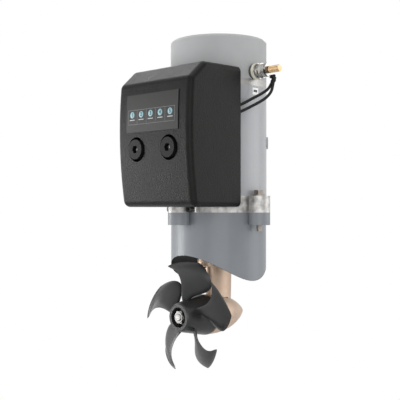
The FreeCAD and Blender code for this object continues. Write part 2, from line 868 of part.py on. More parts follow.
def make_battery_stud():
    """The brass stud: free thread at its crest, thread under the nuts at its pitch diameter."""
    start = "motor_dia / 2 - cap_wall - 1 - stud_nut - 1"
    shank = rod("stud_core_dia", (start, "0", stud_height), f"{stud_free_foot} + 1 - ({start})", SIDEWAYS)
    free = rod(
        "stud_dia", (stud_free_foot, "0", stud_height), f"stud_reach - 0.8 - {stud_free_foot}", SIDEWAYS
    )
    tip = rod("stud_dia - 1.6", ("stud_reach - 1", "0", stud_height), "1", SIDEWAYS)
    return keep(fuse(shank, free, tip), "battery_stud")


def make_stud_washers():
    """The washers on the stud: two plain ones with a spring washer between, and one outside."""
    pieces = []
    starts = (
        (insulator_face, "insulator_dia - 1", "stud_washer"),
        (f"{insulator_face} + stud_washer", "stud_across + 0.5", "stud_washer + 1.4"),
        (f"{insulator_face} + 2 * stud_washer + 1.4", "stud_washer_dia", "stud_washer"),
        (outer_washer_foot, "stud_washer_dia - 1", "stud_washer"),
    )
    for start, dia, thick in starts:
        disc = rod(dia, (start, "0", stud_height), thick, SIDEWAYS)
        hole = rod(stud_way, (f"{start} - 1", "0", stud_height), f"({thick}) + 2", SIDEWAYS)
        pieces.append(cut(disc, hole))
    return keep(group(*pieces), "stud_washers")


def make_stud_nuts():
    """The nut inside the end cap and the nut outside it."""
    nuts = []
    for start in ("motor_dia / 2 - cap_wall - 1 - stud_nut", stud_nut_foot):
        body = hexagon("stud_across", (start, "0", stud_height), "stud_nut", SIDEWAYS)
        hole = rod("stud_core_dia", (f"{start} - 1", "0", stud_height), "stud_nut + 2", SIDEWAYS)
        nuts.append(cut(body, hole))
    return keep(group(*nuts), "stud_nuts")


# Routes of the two leads: side and ahead of the drive shaft's axis, and drop below the stud's
UPPER_LEAD = [
    (75.4, -6.9, 12.8),
    (73.2, -3.5, 20.4),
    (68.8, 2.7, 25.7),
    (61.7, 11.8, 31.8),
    (55.6, 19.9, 37.4),
    (51.7, 27, 40.8),
]
LOWER_LEAD = [
    (79.4, -4.6, 12.8),
    (77.5, -3.4, 24.1),
    (72.7, 1.3, 31.4),
    (64.1, 10.4, 38.6),
    (55.9, 19.8, 44.8),
    (51.8, 27, 48.1),
]


def make_ring_terminals():
    """Two crimp terminals under the outer washer, each with its sleeve over the lead's end."""
    pieces = []
    for i, route in enumerate((UPPER_LEAD, LOWER_LEAD)):
        start = f"{terminal_foot} + {i} * terminal_thickness"
        side, ahead, drop = route[0]
        foot = f"({stud_height} - {drop})"
        across = (f"{ahead} - tongue_width / 2", f"{ahead} + tongue_width / 2")
        shelf = (f"{foot} + sleeve_length - terminal_thickness", f"{foot} + sleeve_length")
        disc = rod("terminal_dia", (start, "0", stud_height), "terminal_thickness", SIDEWAYS)
        hole = rod(stud_way, (f"{start} - 1", "0", stud_height), "terminal_thickness + 2", SIDEWAYS)
        tongue = block((start, f"{start} + terminal_thickness"), across, (shelf[0], stud_height))
        arm = block((start, str(side)), across, shelf)
        sleeve = rod("lead_dia + 1.2", (str(side), str(ahead), foot), "sleeve_length", lead_heading(route))
        pieces.append(cut(fuse(disc, tongue, arm, sleeve), hole))
    return keep(group(*pieces), "ring_terminals")


def lead_spots(route):
    """The corners of a lead's route."""
    top = value(stud_height)
    return [Vector(side, -ahead, top - drop) for side, ahead, drop in route]


def lead_heading(route):
    """The turn that lays +Z along the first run of a lead, away from the lead."""
    first, second = lead_spots(route)[:2]
    return Rotation(Vector(0, 0, 1), first - second)


def lead_path(points):
    """Straight runs joined by tangent arcs, each as large as its two runs allow."""
    spots = lead_spots(points)
    edges = []
    radii = []
    start = spots[0]
    for before, corner, after in zip(spots, spots[1:], spots[2:]):
        back = before - corner
        onward = after - corner
        trim = 0.45 * min(back.Length, onward.Length)
        turn = math.pi - back.getAngle(onward)
        radius = trim / math.tan(turn / 2)
        radii.append(round(radius, 1))
        back.normalize()
        onward.normalize()
        arc_start = corner + back * trim
        arc_end = corner + onward * trim
        centre_way = back + onward
        centre_way.normalize()
        middle = corner + centre_way * (radius / math.cos(turn / 2) - radius)
        edges.append(Part.LineSegment(start, arc_start).toShape())
        edges.append(Part.Arc(arc_start, middle, arc_end).toShape())
        start = arc_end
    edges.append(Part.LineSegment(start, spots[-1]).toShape())
    return Part.Wire(edges), radii


def make_lead(label, points):
    """One black lead from the stud into the control box."""
    wire, radii = lead_path(points)
    radius = value("lead_dia / 2")
    first = wire.Edges[0]
    heading = first.tangentAt(first.FirstParameter)
    section = Part.Wire([Part.Circle(first.valueAt(first.FirstParameter), heading, radius).toShape()])
    tube = wire.makePipeShell([section], True, True)
    expected = math.pi * radius**2 * wire.Length
    print(
        label, "length", round(wire.Length, 1), "radii", radii, "volume ratio",
        round(tube.Volume / expected, 4),
    )
    item = DOC.addObject("Part::Feature", label)
    item.Shape = tube
    return keep(item, label)


# Control box

box_half = "(box_width / 2)"
cover_inner_half = f"({box_half} - box_wall)"


def box_profile(body, shrink):
    """Side outline of the box: flat back, foot and head, a shallow arc in front and a sloped shoulder."""
    sketch = new_sketch(body, "YZ_Plane", f"-{box_half} + ({shrink})")
    reach = f"box_reach - ({shrink})"
    centre = f"(box_reach - box_curve)"
    radius = f"(box_curve - ({shrink}))"
    foot = f"({box_foot} + ({shrink}))"
    head = f"({box_head} - ({shrink}))"
    shoulder = f"({box_shoulder} - ({shrink}) / 2)"
    back = "box_back" if shrink == "0" else "(box_back - 1)"

    def face_at(height):
        return f"({centre} + sqrt({radius} ^ 2 - ({height} - {box_curve_height}) ^ 2))"

    shoulder_back = f"({face_at(shoulder)} - box_shoulder_back + ({shrink}) / 4)"
    low = Vector(-value(face_at(foot)), value(foot), 0)
    high = Vector(-value(face_at(shoulder)), value(shoulder), 0)
    middle = Vector(-value(reach), value(box_curve_height), 0)
    sketch.addGeometry(Part.Arc(high, middle, low), False)
    corners = [high, Vector(-value(shoulder_back), value(head), 0)]
    corners.append(Vector(-value(back), value(head), 0))
    corners.append(Vector(-value(back), value(foot), 0))
    corners.append(low)
    for start, end in zip(corners, corners[1:]):
        sketch.addGeometry(Part.LineSegment(start, end), False)
    sketch.addConstraint(Sketcher.Constraint("Coincident", 0, 1, 1, 1))
    for edge in (1, 2, 3):
        sketch.addConstraint(Sketcher.Constraint("Coincident", edge, 2, edge + 1, 1))
    sketch.addConstraint(Sketcher.Constraint("Coincident", 4, 2, 0, 2))
    pin_point(sketch, 0, 3, f"-{centre}", box_curve_height)
    index = sketch.addConstraint(Sketcher.Constraint("Radius", 0, value(radius)))
    sketch.setExpression(f"Constraints[{index}]", linked(radius))
    pin_height(sketch, 1, 1, shoulder)
    pin_point(sketch, 2, 1, f"-{shoulder_back}", head)
    pin_point(sketch, 3, 1, f"-{back}", head)
    pin_point(sketch, 4, 1, f"-{back}", foot)
    pin_height(sketch, 4, 2, foot)
    return sketch


def pin_height(sketch, edge, end, text):
    """Dimensions only the height of a sketch point."""
    index = sketch.addConstraint(Sketcher.Constraint("DistanceY", -1, 1, edge, end, value(text)))
    sketch.setExpression(f"Constraints[{index}]", linked(text))


def box_solid(shrink, crease_radius, edge_radius):
    """The box as a solid, every face moved in by the same amount, with rounded front corners."""
    body = new_body()
    sketch = box_profile(body, shrink)
    pad = body.newObject("PartDesign::Pad", "pad")
    pad.Profile = sketch
    bind(pad, "Length", f"box_width - 2 * ({shrink})")
    front = value("box_back") + 30
    back = value("box_back") + 1

    def crease(edge):
        return abs(edge.CenterOfMass.x) < 1e-3 and -edge.CenterOfMass.y > front

    def side_edge(edge):
        return abs(edge.CenterOfMass.x) > value(f"{box_half} - box_wall - 1") and -edge.CenterOfMass.y > back

    return rounded(rounded(body, crease_radius, crease), edge_radius, side_edge)


def pocket_spots():
    """Side and height of the two cover screws."""
    return [(f"{sign}pocket_spread / 2", pocket_height) for sign in ("-", "")]


pocket_floor = "(box_reach - 1.2 - pocket_depth)"
pillar_end = f"({pocket_floor} - box_wall)"
well_half = "(ear_dia / 2 + 1.5)"
well_front = "(ear_circle / 2 + ear_dia / 2 + 1.5)"
well_head = f"({yoke_foot} + bolt_collar + bolt_head + 2.5)"


def make_control_box_cover():
    """The moulded cover: an open-backed shell with two deep screw pockets in its face."""
    inside = box_solid("box_wall", "box_crease - box_wall", "box_edge - box_wall")
    shell = cut(box_solid("0", "box_crease", "box_edge"), inside)
    bosses = []
    pockets = []
    for side, height in pocket_spots():
        bosses.append(
            rod("pocket_dia + 2 * box_wall", (side, pillar_end, height), "pocket_depth + 0.5", AHEAD)
        )
        pockets.append(rod("pocket_dia", (side, pocket_floor, height), "pocket_depth * 2", AHEAD))
        pockets.append(rod("knob_shank + 0.6", (side, f"{pillar_end} - 1", height), "pocket_depth", AHEAD))
    motor_way = rod(
        "motor_dia + 2 * box_motor_gap + 2 * base_wall + 1", ("0", "0", f"{box_foot} - 1"), "box_wall + 2"
    )
    head_way = rod("motor_dia + 2 * box_motor_gap", ("0", "0", f"{box_head} - box_wall - 1"), "box_wall + 2")
    ear_way = block(
        (f"-{well_half}", well_half), ("0", well_front), (f"{box_foot} - 1", f"{box_foot} + box_wall + 1")
    )
    tab_way = block(
        ("-base_screw_spread / 2 - 7", "base_screw_spread / 2 + 7"),
        ("0", "base_pad_reach + base_plate + base_screw_head + 1"),
        (f"{box_foot} - 1", f"{box_foot} + box_wall + 1"),
    )
    cover = cut(fuse(shell, *bosses), *pockets, motor_way, head_way, ear_way, tab_way)
    return keep(cover, "control_box_cover")


def make_front_panel():
    """The thin label plate that follows the curve of the cover's face."""
    strip = new_body()
    sketch = new_sketch(strip, "YZ_Plane", "-panel_width / 2")
    centre = "(box_reach - box_curve)"

    def face_at(height, extra):
        return f"({centre} + sqrt((box_curve + ({extra})) ^ 2 - (({height}) - {box_curve_height}) ^ 2))"

    def spot(height, extra):
        return Vector(-value(face_at(height, extra)), value(height), 0)

    middle = f"({panel_foot} + {panel_head}) / 2"
    thick = "panel_thickness"
    for extra in ("0", thick):
        curve = Part.Arc(spot(panel_head, extra), spot(middle, extra), spot(panel_foot, extra))
        sketch.addGeometry(curve, False)
    for index, extra in ((0, "0"), (1, thick)):
        pin_point(sketch, index, 3, f"-{centre}", box_curve_height)
        rule = sketch.addConstraint(Sketcher.Constraint("Radius", index, value(f"box_curve + ({extra})")))
        sketch.setExpression(f"Constraints[{rule}]", linked(f"box_curve + ({extra})"))
        pin_height(sketch, index, 2, panel_foot)
        pin_height(sketch, index, 1, panel_head)
    sketch.addGeometry(Part.LineSegment(spot(panel_foot, "0"), spot(panel_foot, thick)), False)
    sketch.addGeometry(Part.LineSegment(spot(panel_head, "0"), spot(panel_head, thick)), False)
    for line, end in ((2, 2), (3, 1)):
        sketch.addConstraint(Sketcher.Constraint("Coincident", line, 1, 0, end))
        sketch.addConstraint(Sketcher.Constraint("Coincident", line, 2, 1, end))
    pad = strip.newObject("PartDesign::Pad", "pad")
    pad.Profile = sketch
    bind(pad, "Length", "panel_width")
    return keep(strip, "front_panel")


def make_cover_screws():
    """Two large flat-headed screws that hold the cover to its base."""
    screws = []
    for side, height in pocket_spots():
        head = rod("knob_dia", (side, pocket_floor, height), "knob_height", AHEAD)
        shank = rod("knob_shank", (side, f"{pocket_floor} - screw_reach", height), "screw_reach", AHEAD)
        socket_foot = f"{pocket_floor} + knob_height - knob_socket_depth"
        socket = hexagon("knob_socket", (side, socket_foot, height), "knob_socket_depth + 1", AHEAD)
        screws.append(cut(fuse(head, shank), socket))
    return keep(group(*screws), "cover_screws")


base_half = f"({cover_inner_half} - fit_gap)"
base_foot = f"({box_foot} + box_wall + base_plate)"
base_head = f"({box_head} - box_wall - fit_gap)"
base_front = "(base_pad_reach + base_plate + 2)"
base_back_dia = "(motor_dia + 2 * box_motor_gap)"


def make_control_box_base():
    """The tray behind the cover: it wraps the motor and carries the pillars, the posts and the bolt well."""
    start = "box_back + 0.5"
    front = ("base_pad_reach - 14", "base_pad_reach - 17")
    outer = common(
        block((f"-{base_half}", base_half), (start, base_front), (base_foot, base_head)),
        box_solid("box_wall + fit_gap", "box_crease - box_wall", "box_edge - box_wall - fit_gap"),
    )
    inner = block(
        (f"-{base_half} + base_wall", f"{base_half} - base_wall"),
        (f"{start} - 1", f"{base_front} + 1"),
        (f"{base_foot} + base_wall", f"{base_head} - base_wall"),
    )
    wrap = rod(f"{base_back_dia} + 2 * base_wall", ("0", "0", base_foot), box_head)
    motor = rod(base_back_dia, ("0", "0", f"{base_foot} - 1"), box_head)
    well = block(
        (f"-{well_half} - base_wall", f"{well_half} + base_wall"),
        ("base_pad_reach", f"{well_front} + base_wall"),
        (base_foot, f"{well_head} + base_wall"),
    )
    void = block((f"-{well_half}", well_half), ("0", well_front), (f"{base_foot} - 1", well_head))
    pillars = []
    shanks = []
    for side, height in pocket_spots():
        pillars.append(rod("pillar_dia", (side, front[0], height), f"{pillar_end} - ({front[0]})", AHEAD))
        shanks.append(
            rod("knob_shank", (side, f"{pocket_floor} - screw_reach", height), "screw_reach", AHEAD)
        )
    posts = []
    for side in ("-(board_width / 2 - 5)", "board_width / 2 - 5"):
        for height in (f"{board_foot} + 5", f"{board_foot} + board_height - 5"):
            posts.append(rod("post_dia", (side, front[1], height), f"board_ahead - ({front[1]})", AHEAD))
    screw_way = rod("pole_screw_head_dia + 3", ("motor_dia / 4", "0", pole_middle), "motor_dia / 2", SIDEWAYS)
    screw_ways = [turned_about_z(screw_way, angle) for angle in (-45, -135)]
    lead_way = block(
        (f"{base_half} - base_wall - 5", box_half),
        ("box_back", "box_back + 8"),
        (f"{stud_height} - {LOWER_LEAD[-1][2]} - 5", f"{stud_height} - {UPPER_LEAD[-1][2]} + 6"),
    )
    tray = cut(outer, cut(inner, wrap))
    solid = cut(fuse(tray, well, *pillars, *posts), motor, void, *shanks, *screw_ways, lead_way)
    return keep(solid, "control_box_base")


def make_base_bracket():
    """The bent steel strip that hangs the box's base on the flange, notched for the front ear."""
    spread = "(base_screw_spread / 2 + 6)"
    notch_half = "(ear_dia / 2 + 0.3)"
    shelf = (f"{base_foot} - base_plate", base_foot)
    front = "base_pad_reach + base_plate"
    plate = block((f"-{spread}", spread), ("base_pad_reach", front), ("seat_height + 0.3", base_foot))
    ledge = block((f"-{spread}", spread), ("base_pad_reach", "base_pad_reach + 26"), shelf)
    notch = block((f"-{notch_half}", notch_half), ("0", well_front), ("seat_height - 1", box_head))
    holes = [
        rod("base_screw_dia + 2 * screw_clear", (side, "base_pad_reach - 1", base_screw_height), "5", AHEAD)
        for side in base_screw_sides
    ]
    return keep(cut(fuse(plate, ledge), notch, *holes), "base_bracket")


def make_base_screws():
    """Two socket screws that hold the bracket to the flange."""
    screws = []
    face = "base_pad_reach + base_plate"
    for side in base_screw_sides:
        shank = rod("base_screw_dia", (side, f"{face} - 9", base_screw_height), "9", AHEAD)
        head = rod("base_screw_head_dia", (side, face, base_screw_height), "base_screw_head", AHEAD)
        socket = hexagon(
            "base_screw_dia - 1", (side, f"{face} + 2", base_screw_height), "base_screw_head", AHEAD
        )
        screws.append(cut(fuse(shank, head), socket))
    return keep(group(*screws), "base_screws")


contactor_sides = ("-contactor_spread / 2", "contactor_spread / 2")
contactor_top = f"({contactor_foot} + contactor_height)"


def make_contactors():
    """The two reversing contactors as closed cans on feet from the base."""
    cans = []
    for side in contactor_sides:
        can = rod("contactor_dia", (side, "contactor_ahead", contactor_foot), "contactor_height")
        void = rod(
            "contactor_dia - 2 * contactor_wall",
            (side, "contactor_ahead", f"{contactor_foot} + contactor_wall"),
            "contactor_height / 2 - 2 * contactor_wall",
        )
        taps = [
            rod(
                "terminal_screw_dia",
                (f"{side} {sign} terminal_spread / 2", "contactor_ahead", f"{contactor_top} - 6"),
                "8",
            )
            for sign in ("-", "+")
        ]
        foot = block(
            (f"{side} - 6", f"{side} + 6"),
            ("box_back + 20", "contactor_ahead - contactor_dia / 2 + 2"),
            (f"{contactor_foot} + 8", f"{contactor_foot} + 40"),
        )
        wrap = rod(f"{base_back_dia} + 2 * base_wall", ("0", "0", base_foot), box_head)
        cans.append(cut(fuse(can, cut(foot, wrap)), void, *taps))
    return keep(group(*cans), "contactors")


def make_contactor_plunger(side, label):
    """The armature inside one contactor, at the bottom of its travel."""
    foot = f"{contactor_foot} + contactor_wall + 0.1"
    free = "contactor_height / 2 - 2 * contactor_wall - 0.2 - plunger_travel"
    rod_part = rod("plunger_dia", (side, "contactor_ahead", foot), free)
    plate = rod("contactor_dia - 2 * contactor_wall - 0.6", (side, "contactor_ahead", foot), "3")
    return keep(fuse(rod_part, plate), label)


def make_contactor_terminals():
    """Two threaded terminals on each contactor."""
    pins = []
    for side in contactor_sides:
        for sign in ("-", "+"):
            spot = (f"{side} {sign} terminal_spread / 2", "contactor_ahead", f"{contactor_top} - 6")
            pins.append(rod("terminal_screw_dia", spot, "6 + terminal_screw_reach"))
    return keep(group(*pins), "contactor_terminals")


def make_bus_bar():
    """The copper strip that joins the two contactors."""
    half = "contactor_spread / 2 + terminal_spread / 2"
    strip = block(
        (f"-({half}) - 5", f"{half} + 5"),
        ("contactor_ahead - bus_width / 2", "contactor_ahead + bus_width / 2"),
        (contactor_top, f"{contactor_top} + bus_thickness"),
    )
    holes = [
        rod(
            "terminal_screw_dia",
            (f"{side} {sign} terminal_spread / 2", "contactor_ahead", f"{contactor_top} - 1"),
            "bus_thickness + 2",
        )
        for side in contactor_sides for sign in ("-", "+")
    ]
    return keep(cut(strip, *holes), "bus_bar")


def make_controller_board():
    """The control board with its relay block and connector."""
    half = "board_width / 2"
    face = "board_ahead + board_thickness"
    plate = block((f"-{half}", half), ("board_ahead", face), (board_foot, f"{board_foot} + board_height"))
    relay = block(("-30", "-12"), (face, f"{face} + 14"), (f"{board_foot} + 4", f"{board_foot} + 20"))
    plug = block(("12", "32"), (face, f"{face} + 9"), (f"{board_foot} + 4", f"{board_foot} + 14"))
    return keep(fuse(plate, relay, plug), "controller_board")


# Gear leg

column_top = "(tunnel_bore / 2 - 3)"


def make_pod():
    """The torpedo: a pointed nose swelling into a plain barrel."""
    body = new_body()
    sketch = new_sketch(body, "XZ_Plane")
    radius = "(((pod_nose + pod_shoulder) ^ 2 + (pod_dia / 2) ^ 2) / pod_dia)"
    nose = Vector(0, -value("pod_nose"), 0)
    shoulder = Vector(value("pod_dia / 2"), value("pod_shoulder"), 0)
    centre = Vector(value(f"pod_dia / 2 - {radius}"), value("pod_shoulder"), 0)
    middle = centre + (nose + shoulder - centre * 2).normalize() * value(radius)
    sketch.addGeometry(Part.Arc(nose, middle, shoulder), False)
    mouth = Vector(value("pod_dia / 2"), value("pod_mouth"), 0)
    hub = Vector(0, value("pod_mouth"), 0)
    for start, end in ((shoulder, mouth), (mouth, hub), (hub, nose)):
        sketch.addGeometry(Part.LineSegment(start, end), False)
    sketch.addConstraint(Sketcher.Constraint("Tangent", 0, 2, 1, 1))
    sketch.addConstraint(Sketcher.Constraint("Coincident", 1, 2, 2, 1))
    sketch.addConstraint(Sketcher.Constraint("Coincident", 2, 2, 3, 1))
    sketch.addConstraint(Sketcher.Constraint("Coincident", 3, 2, 0, 1))
    pin_point(sketch, 1, 1, "pod_dia / 2", "pod_shoulder")
    pin_point(sketch, 1, 2, "pod_dia / 2", "pod_mouth")
    pin_point(sketch, 2, 2, "0", "pod_mouth")
    pin_point(sketch, 3, 2, "0", "-pod_nose")
    revolve(body, sketch, "V_Axis")
    body.Placement = Placement(Vector(0, 0, 0), AHEAD)
    return body


def ellipse(chord, thickness, height):
    """A level ellipse, its long axis along the tunnel."""
    item = DOC.addObject("Part::Ellipse", "section")
    bind(item, "MajorRadius", f"({chord}) / 2")
    bind(item, "MinorRadius", f"({thickness}) / 2")
    item.Placement = Placement(Vector(0, 0, 0), Rotation(Vector(0, 0, 1), 90))
    bind(item, "Placement.Base.z", height)
    return item


def lofted(sections):
    """A ruled solid through level sections."""
    item = DOC.addObject("Part::Loft", "loft")
    item.Sections = sections
    item.Solid = True
    item.Ruled = True
    return item


def make_gear_leg():
    """The bronze leg: pod, streamlined column, curved flange and neck, bored for shafts and gears."""
    column = lofted(
        [
            ellipse("column_chord - column_taper", "column_thickness - 1", "pod_dia / 8"),
            ellipse("column_chord", "column_thickness", column_top),
        ]
    )
    foot = "tunnel_bore / 2 - leg_flange_thickness - 12"
    flange_block = lofted(
        [
            ellipse("leg_flange_length", "leg_flange_width", foot),
            ellipse("leg_flange_length", "leg_flange_width", "tunnel_bore / 2 + 1"),
        ]
    )
    skin = ring(
        "tunnel_bore - 2 * leg_flange_thickness", "tunnel_bore", "-leg_flange_length", "leg_flange_length",
        AHEAD,
    )
    flange = common(flange_block, skin)
    neck = rod("neck_dia", ("0", "0", "tunnel_bore / 2 - 6"), "neck_top - (tunnel_bore / 2 - 6)")
    bore = "pod_bore / 2"
    cavity = turned(
        [
            ("0", "-pod_nose / 3"),
            (f"{bore} - 8", "-pod_nose / 3"),
            (f"{bore} - 1.6", "2"),
            (bore, "pod_mouth / 3"),
            (bore, "pod_mouth + 1"),
            ("0", "pod_mouth + 1"),
        ],
        AHEAD,
    )
    nose_bore = rod("nose_bush_outer", ("0", "-nose_bush_back", "0"), "nose_bush_back", AHEAD)
    room = "(gear_module * pinion_teeth / 2 + 2.3)"
    roof = "(gear_module * gear_teeth / 2)"
    pinion_room = turned(
        [("0", "0"), (room, "0"), (room, roof), (f"{room} - 2.6", f"{roof} + 2.6"), ("0", f"{roof} + 2.6")]
    )
    shaft_bore = rod("needle_outer", ("0", "0", "0"), "neck_top")
    seat = rod("leg_bearing_outer", ("0", "0", "leg_bearing_foot"), "neck_top - leg_bearing_foot + 1")
    taps = [
        rod("bolt_dia", ("0", f"{sign}leg_bolt_spread / 2", "tunnel_bore / 2 - 12"), "24")
        for sign in ("-", "")
    ]
    pod = make_pod()
    leg = cut(fuse(pod, column, flange, neck), cavity, nose_bore, pinion_room, shaft_bore, seat, *taps)
    return keep(leg, "gear_leg")


def make_leg_bolts():
    """Two bolts from inside the bracket through the tunnel wall into the leg's flange."""
    bolts = []
    seat = f"{tunnel_outer} / 2 + saddle_floor - 0.8"
    foot = "tunnel_bore / 2 - leg_bolt_depth"
    for sign in ("-", ""):
        ahead = f"{sign}leg_bolt_spread / 2"
        shank = rod("bolt_dia", ("0", ahead, foot), f"{seat} - ({foot})")
        collar = rod("bolt_collar_dia", ("0", ahead, seat), "bolt_collar")
        head = hexagon("bolt_across", ("0", ahead, f"{seat} + bolt_collar"), "bolt_head")
        bolts.append(fuse(shank, collar, head))
    return keep(group(*bolts), "leg_bolts")


def seal(shaft_dia, outer, foot, width, turn, label):
    """A lip seal: a ring with a groove behind its lip."""
    inner = f"({shaft_dia}) / 2 + 0.05"
    rim = f"({outer}) / 2"
    top = f"({foot}) + ({width})"
    corners = [
        (inner, foot),
        (rim, foot),
        (rim, top),
        (f"{rim} - 1.6", top),
        (f"{rim} - 1.6", f"({foot}) + 1.6"),
        (f"{inner} + 1.6", f"({foot}) + 1.6"),
        (f"{inner} + 1.2", f"{top} - 0.5"),
        (inner, f"{top} - 0.5"),
    ]
    return keep(turned(corners, turn), label)


def make_bearing_carrier():
    """The bronze carrier that closes the pod and holds the propeller shaft's bearing and seal."""
    bearing_front = "propeller_bearing_back + propeller_bearing_width"
    seal_front = f"{bearing_front} + 1 + propeller_seal_width"
    barrel = "carrier_barrel_dia / 2"
    seat = "propeller_bearing_outer / 2"
    inner_back = "propeller_bearing_back - 0.4"
    carrier = turned(
        [
            (seat, inner_back),
            ("pod_bore / 2", inner_back),
            ("pod_bore / 2", "pod_mouth"),
            ("pod_dia / 2", "pod_mouth"),
            ("pod_dia / 2", "pod_mouth + carrier_lip"),
            (barrel, "pod_mouth + carrier_lip"),
            (barrel, "carrier_reach"),
            ("propeller_shaft_dia / 2 + 2.5", "carrier_reach"),
            ("propeller_shaft_dia / 2 + 2.5", seal_front),
            (seat, seal_front),
        ],
        AHEAD,
    )
    return keep(carrier, "bearing_carrier")


# Bevel gears


def tooth_profile(pitch_angle, teeth):
    """Corners of one tooth at its heel, on the back cone, as offsets across and along it."""
    module = value("gear_module")
    pressure = math.radians(20)
    addendum = 0.85 * module
    dedendum = 1.2 * module
    back_radius = module * teeth / 2 / math.cos(pitch_angle)
    base_radius = back_radius * math.cos(pressure)
    half_pitch_angle = (math.pi * module / 2 - value("gear_backlash")) / 2 / back_radius
    involute = math.tan(pressure) - pressure

    def half_width(radius):
        slope = math.acos(min(1.0, base_radius / radius))
        return radius * math.sin(half_pitch_angle + involute - (math.tan(slope) - slope))

    heights = (-dedendum - 0.4, -dedendum / 2, 0.0, addendum / 2, addendum)
    return [(half_width(max(back_radius + h, base_radius)), h) for h in heights]


def bevel_tooth(pitch_angle, teeth, azimuth):
    """One straight bevel tooth about +Z, its flanks running to the crossing of the shafts."""
    cone = value("gear_module") / 2 * math.hypot(value("pinion_teeth"), value("gear_teeth"))
    along = Vector(math.sin(pitch_angle), 0, math.cos(pitch_angle))
    outwards = Vector(math.cos(pitch_angle), 0, -math.sin(pitch_angle))
    profile = tooth_profile(pitch_angle, teeth)
    heel = [along * cone + outwards * h + Vector(0, w, 0) for w, h in profile]
    heel += [along * cone + outwards * h - Vector(0, w, 0) for w, h in reversed(profile)]
    shrink = (cone - value("gear_face")) / cone
    toe = [corner * shrink for corner in heel]
    wires = [Part.makePolygon(corners + corners[:1]) for corners in (toe, heel)]
    tooth = Part.makeLoft(wires, True, True)
    tooth.rotate(Vector(0, 0, 0), Vector(0, 0, 1), azimuth)
    return tooth


def bevel_gear(teeth, other_teeth, first_azimuth, hub_end, hub_dia, bore):
    """A straight bevel gear about +Z, its apex at the origin."""
    module = value("gear_module")
    pitch_angle = math.atan2(teeth, other_teeth)
    cone = module / 2 * math.hypot(teeth, other_teeth)
    face = value("gear_face")
    along = Vector(math.sin(pitch_angle), 0, math.cos(pitch_angle))
    outwards = Vector(math.cos(pitch_angle), 0, -math.sin(pitch_angle))
    heel_root = along * cone - outwards * (1.2 * module)
    toe_root = heel_root * ((cone - face) / cone)
    back = heel_root.z + 0.8
    outline_points = [
        Vector(bore / 2, 0, toe_root.z),
        toe_root,
        heel_root,
        Vector(heel_root.x - 0.4, 0, back),
        Vector(hub_dia / 2, 0, back),
        Vector(hub_dia / 2, 0, hub_end),
        Vector(bore / 2, 0, hub_end),
    ]
    face_shape = Part.Face(Part.makePolygon(outline_points + outline_points[:1]))
    blank = face_shape.revolve(Vector(0, 0, 0), Vector(0, 0, 1), 360)
    step = 360.0 / teeth
    return blank.fuse([bevel_tooth(pitch_angle, teeth, first_azimuth + step * i) for i in range(teeth)])


def make_bevel_pinion():
    """The pinion on the drive shaft, a tooth standing straight ahead."""
    item = DOC.addObject("Part::Feature", "pinion")
    item.Shape = bevel_gear(
        int(value("pinion_teeth")),
        int(value("gear_teeth")),
        -90.0,
        value("pinion_hub_top"),
        value("pinion_hub_dia"),
        value("drive_shaft_dia"),
    )
    return keep(item, "bevel_pinion")


def make_bevel_gear():
    """The wheel on the propeller shaft, a gap standing straight up."""
    teeth = int(value("gear_teeth"))
    item = DOC.addObject("Part::Feature", "wheel")
    item.Shape = bevel_gear(
        teeth,
        int(value("pinion_teeth")),
        90.0 + 180.0 / teeth,
        value("gear_hub_back"),
        value("gear_hub_dia"),
        value("propeller_shaft_dia"),
    )
    item.Placement = Placement(Vector(0, 0, 0), AHEAD)
    return keep(item, "bevel_gear")


# Shafts and coupling


def make_drive_shaft():
    """The leg's vertical shaft, from the pinion to the coupling."""
    foot = "gear_module * gear_teeth / 2 * 0.5"
    journal = "drive_shaft_dia / 2"
    shaft = turned(
        [
            ("0", foot),
            (journal, foot),
            (journal, "needle_foot - 0.5"),
            (f"{journal} - shaft_gap", "needle_foot - 0.5"),
            (f"{journal} - shaft_gap", "neck_top + 1"),
            (journal, "neck_top + 1"),
            (journal, "coupling_foot + coupling_plate"),
            ("0", "coupling_foot + coupling_plate"),
        ]
    )
    return keep(shaft, "drive_shaft")


JAW_COUNT = 3
JAW_STEP = 360 / JAW_COUNT


def jaws(foot, top, first):
    """Three square jaws of a coupling half."""
    jaw = block(
        ("coupling_hub_dia / 2 - 1", "coupling_dia / 2"), ("-jaw_width / 2", "jaw_width / 2"), (foot, top)
    )
    return [turned_about_z(jaw, first + JAW_STEP * i) for i in range(JAW_COUNT)]


def make_leg_coupling():
    """The coupling half on the drive shaft."""
    plate = ring("drive_shaft_dia", "coupling_dia", "coupling_foot", "coupling_foot + coupling_plate")
    teeth = jaws(
        "coupling_foot + coupling_plate - 1", "coupling_foot + coupling_plate + coupling_gap - jaw_clear", 0
    )
    return keep(fuse(plate, *teeth), "leg_coupling")


def make_motor_coupling():
    """The coupling half on the motor's shaft."""
    bore = "upper_bearing_bore - 2 * shaft_gap"
    foot = "coupling_foot + coupling_plate + coupling_gap"
    plate = ring(bore, "coupling_dia", foot, coupling_top)
    hub = ring(bore, "coupling_hub_dia", f"{coupling_top} - 1", f"{coupling_top} + 4")
    teeth = jaws("coupling_foot + coupling_plate + jaw_clear", f"{foot} + 1", JAW_STEP / 2)
    return keep(fuse(plate, hub, *teeth), "motor_coupling")


def make_coupling_spider():
    """The rubber star between the jaws."""
    foot = "coupling_foot + coupling_plate + jaw_clear"
    tall = "coupling_gap - 2 * jaw_clear - 1.2"
    centre = rod("coupling_hub_dia - 4", ("0", "0", foot), tall)
    leg = rod("jaw_width - 1", ("coupling_dia / 2 - jaw_width / 2 - 1", "0", foot), tall)
    web = block(("0", "coupling_dia / 2 - jaw_width / 2 - 1"), ("-1.5", "1.5"), (foot, f"{foot} + {tall}"))
    arm = fuse(leg, web)
    arms = [turned_about_z(arm, 30 + 60 * i) for i in range(6)]
    return keep(fuse(centre, *arms), "coupling_spider")


